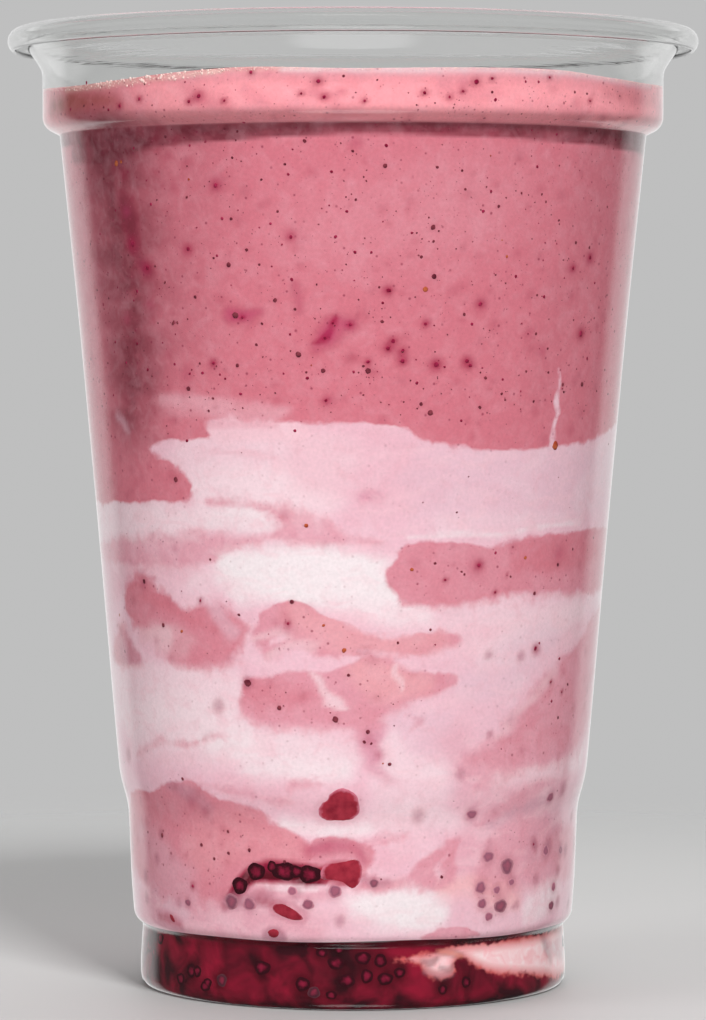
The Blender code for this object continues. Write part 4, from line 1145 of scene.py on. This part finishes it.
def drupelets(name, marks, seed):
    """One piece that holds a flattened bead at each mark, with its core and paleness kept."""
    draw = random.Random(seed)
    sphere, body = template(bmesh.ops.create_uvsphere, u_segments=18, v_segments=12)
    flat = sphere.copy()
    flat[:, 2] = np.copysign(np.abs(sphere[:, 2]) ** BEAD_POWER, sphere[:, 2])
    around = np.arctan2(sphere[:, 1], sphere[:, 0])
    off_centre = (sphere[:, :2] ** 2).sum(1)
    cores = []
    bm = bmesh.new()
    for angle, height, half, paleness in marks:
        wide = draw.uniform(0.92, 1.14)
        phase = draw.uniform(0, 2 * math.pi)
        lobes = (1 + 0.05 * np.sin(3 * around + phase) + 0.04 * np.sin(5 * around - phase))[:, None]
        size = Matrix.Diagonal((half * wide, half / wide, BEAD_DEPTH, 1 / MM)) * MM
        sunk = BEAD_SUNK + BLED_DEEPER * paleness
        uneven = flat * np.hstack([lobes, lobes, np.ones_like(lobes)])
        put(bm, body, uneven, on_wall(angle, height, -sunk) @ size)
        # The core's field falls to 0 where the bead's face dips into the drink
        shown = 1 - (sunk / BEAD_DEPTH) ** (2 / BEAD_POWER)
        cores.append(np.where(sphere[:, 2] > 0, np.maximum(1 - off_centre / shown, -1), -1))
    made = piece(name, bm, drupelet_look, sharp=180)
    set_field(made, "core", np.concatenate(cores))
    set_field(made, "paleness", np.repeat([mark[3] for mark in marks], len(sphere)))


drupelet_look = drupelet_material()
draw = random.Random(21)
at_back = [
    (draw.uniform(82, 284), draw.uniform(11.5, 26), draw.uniform(1.1, 1.7), draw.uniform(0.4, 1))
    for _ in range(26)
]
in_base = [
    (draw.uniform(80, 320), draw.uniform(2.2, 7.8), draw.uniform(0.9, 1.35), 0) for _ in range(48)
]
drupelets("drupelets_in_yogurt", [*ARC_DRUPELETS, *PALE_DRUPELETS, *at_back], seed=4)
drupelets("drupelets_in_compote", [*BASE_DRUPELETS, *in_base], seed=5)


# Three torn pieces of red fruit and a few shreds of it lie against the wall low in the yogurt. Each
# is a flattened lump drawn out to its outline, and it is frayed and paler at its edge.

# A lump's half thickness, the power that blunts it, how deep its middle lies in the drink, and the
# square of the way off its middle, out of 1, at which it frays
LUMP_DEPTH = 0.5
LUMP_POWER = 0.4
LUMP_SUNK = 0.42
FRAY_AT = 0.73

# The outlines of the pieces that can be made out, as (angle, height)
FRUIT_OUTLINES = (
    ((-2.7, 31.1), (-0.7, 30.8), (1.2, 30), (1.6, 28), (0.7, 26.8), (-1.4, 26), (-5.2, 25.9),
     (-7.5, 26.5), (-8.5, 27.6), (-7.9, 28.8), (-6.4, 29.5), (-5.4, 30.5)),
    ((-7.6, 20), (-5.2, 20.8), (-1.6, 21.4), (1.2, 21.4), (2.3, 20.6), (2.4, 18.9), (1.3, 17.1),
     (-0.3, 16.7), (-2.4, 17.5), (-5.2, 18.1), (-8, 18.4)),
    ((-20.8, 14.3), (-20, 14.9), (-17.6, 15), (-15, 14.3), (-12.4, 13.1), (-12.6, 12.5), (-15.4, 12.4),
     (-18.2, 12.9), (-20.4, 13.6)),
)
# Shreds and the pieces at the back: (angle, height, half width, half height, turn in degrees)
FRUIT_SHREDS = (
    (-20.3, 10.6, 1.25, 0.75, 8), (-53.5, 11.3, 1, 0.5, -30), (128, 24, 2.2, 1.8, 30),
    (-142, 17, 2.4, 1.7, -15), (168, 12.5, 1.6, 0.9, 10),
)


def fruit_material():
    made, tree, shader = start_material("red_fruit", 0.4, 0.1)
    share = ramp(tree, grain(tree, 1.6, detail=4), 0.36, 0.66)
    colour = blend(tree, share, (0.22, 0.010, 0.024, 1), (0.37, 0.028, 0.05, 1))
    core = maths(tree, "ADD", field(tree, "core"), centred(tree, grain(tree, 0.9, detail=4), 0.9))
    colour = blend(tree, ramp(tree, core, -0.2, 0.12), (0.54, 0.15, 0.21, 1), colour)
    tree.links.new(colour, shader.inputs["Base Color"])
    return made


def shred(angle, height, wide, tall, turn):
    """The outline of an uneven oval scrap."""
    points = []
    for around in np.linspace(0, 2 * math.pi, 8)[:-1]:
        point = Vector((wide * math.cos(around), tall * math.sin(around))) * draw.uniform(0.85, 1.15)
        point.rotate(Matrix.Rotation(math.radians(turn), 2))
        points.append((angle + point.x / MM_PER_DEGREE, height + point.y))
    return points


draw = random.Random(31)
fruit_bm = bmesh.new()
sphere, lump = template(bmesh.ops.create_icosphere, subdivisions=4)
around_lump = np.arctan2(sphere[:, 1], sphere[:, 0])
thick = np.copysign(np.abs(sphere[:, 2]) ** LUMP_POWER * LUMP_DEPTH, sphere[:, 2])
outlines = [*FRUIT_OUTLINES, *[shred(*scrap) for scrap in FRUIT_SHREDS]]
for outline in outlines:
    line = smooth_line(outline, closed=True)
    angle, height = line.mean(0)
    across, up = (line - (angle, height)).T
    across *= MM_PER_DEGREE * inside_radius(height, DRINK_INSET) / MEAN_RADIUS
    frayed = np.hypot(across, up) * [draw.uniform(0.97, 1.03) for _ in line]
    wide = np.interp(around_lump, np.arctan2(up, across), frayed, period=2 * math.pi)
    points = np.column_stack([sphere[:, 0] * wide, sphere[:, 1] * wide, thick])
    place = on_wall(angle, height, -LUMP_SUNK)
    put(fruit_bm, lump, points, place @ Matrix.Diagonal((MM, MM, MM, 1)))
fruit = piece("fruit_pieces", fruit_bm, fruit_material(), sharp=180)
core = np.where(sphere[:, 2] > 0, 1 - (sphere[:, :2] ** 2).sum(1) / FRAY_AT, -1)
set_field(fruit, "core", np.tile(core, len(outlines)))


# The studio: a pale floor that fades into a pale room, a soft key light from the front right, weak
# ones from low in front, from the left and from overhead, and a bright wall behind for the edges.

CAMERA_BACK = 0.641
CAMERA_HEIGHT = 0.093
CAMERA_PITCH = 2.26
CAMERA_LENS = 157.7


def area_light(name, place, target, width, height, power):
    """A soft lamp aimed at the target, which neither gloss nor the clear wall shows."""
    data = bpy.data.lights.new(name, "AREA")
    data.shape = "RECTANGLE"
    data.size = width
    data.size_y = height
    data.energy = power
    made = bpy.data.objects.new(name, data)
    bpy.context.scene.collection.objects.link(made)
    made.location = place
    made.visible_glossy = False
    made.visible_transmission = False
    made.rotation_mode = "QUATERNION"
    made.rotation_quaternion = (Vector(target) - Vector(place)).to_track_quat("-Z", "Y")


def floor_material():
    made, tree, shader = start_material("pale_floor", 0.6)
    shader.inputs["Base Color"].default_value = (0.50, 0.50, 0.495, 1)
    place = add(tree, "TexCoord").outputs["Object"]
    away = add(tree, "VectorMath", {0: place}, operation="LENGTH").outputs["Value"]
    gone = ramp(tree, away, 0.13, 0.30, smooth=True)
    clear = add(tree, "BsdfTransparent")
    mixed = add(tree, "MixShader", {0: gone, 1: shader.outputs[0], 2: clear.outputs[0]})
    tree.links.new(mixed.outputs[0], tree.nodes["Material Output"].inputs["Surface"])
    return made


floor_bm = bmesh.new()
bmesh.ops.create_circle(floor_bm, cap_ends=True, segments=96, radius=0.32)
floor_mesh = bpy.data.meshes.new("studio_floor")
floor_bm.to_mesh(floor_mesh)
floor_bm.free()
floor_mesh.materials.append(floor_material())
studio_floor = bpy.data.objects.new("studio_floor", floor_mesh)
studio_floor.location.z = -0.0001
studio_floor.visible_glossy = False
bpy.context.scene.collection.objects.link(studio_floor)

scene = bpy.context.scene
scene.view_settings.view_transform = "Standard"
world = bpy.data.worlds.new("pale_room")
scene.world = world
world.use_nodes = True
sky = world.node_tree
look = add(sky, "TexCoord").outputs["Generated"]
ray = add(sky, "LightPath").outputs
ROOM_SEEN = 0.52
ROOM_DIM = 0.12


def patch(way, low, high, strength):
    """A bright patch of the room towards a way, soft from the one closeness to it to the other."""
    closeness = add(sky, "VectorMath", {0: look, 1: way}, operation="DOT_PRODUCT").outputs["Value"]
    return ramp(sky, closeness, low, high, end=strength, smooth=True)


# The room lights the cup dimly but for the wall behind it. A patch low in front shows in gloss
# alone, and the eye sees an even grey.
lit = maths(sky, "ADD", ROOM_DIM, patch((0, 1, 0), 0.60, 0.76, 0.85))
below = maths(sky, "MULTIPLY", patch((0, -0.42, -0.91), 0.95, 0.985, 2.4), ray["Is Glossy Ray"])
lit = maths(sky, "ADD", lit, below)
seen = maths(sky, "MAXIMUM", ray["Is Camera Ray"], ray["Is Transmission Ray"])
level = add(sky, "Mix", {0: seen, 2: lit, 3: ROOM_SEEN}, data_type="FLOAT").outputs[0]
sky.links.new(level, sky.nodes["Background"].inputs["Strength"])
sky.nodes["Background"].inputs["Color"].default_value = (1, 1, 1, 1)

middle_of_cup = (0, 0, 0.07)
area_light("key", (0.24, -0.73, 0.86), middle_of_cup, 0.26, 0.26, 11.2)
area_light("low_fill", (-0.05, -0.8, 0.03), middle_of_cup, 0.4, 0.2, 1.9)
area_light("left_fill", (-0.95, -0.35, 0.6), middle_of_cup, 0.5, 0.5, 4)
area_light("overhead", (0.1, 0.25, 1.0), middle_of_cup, 0.6, 0.6, 3)

camera_data = bpy.data.cameras.new("camera")
camera_data.lens = CAMERA_LENS
camera_data.sensor_width = 36
camera_data.clip_start = 0.01
camera = bpy.data.objects.new("camera", camera_data)
scene.collection.objects.link(camera)
camera.location = (0, -CAMERA_BACK, CAMERA_HEIGHT)
camera.rotation_euler = (math.radians(90 - CAMERA_PITCH), 0, 0)
scene.camera = camera
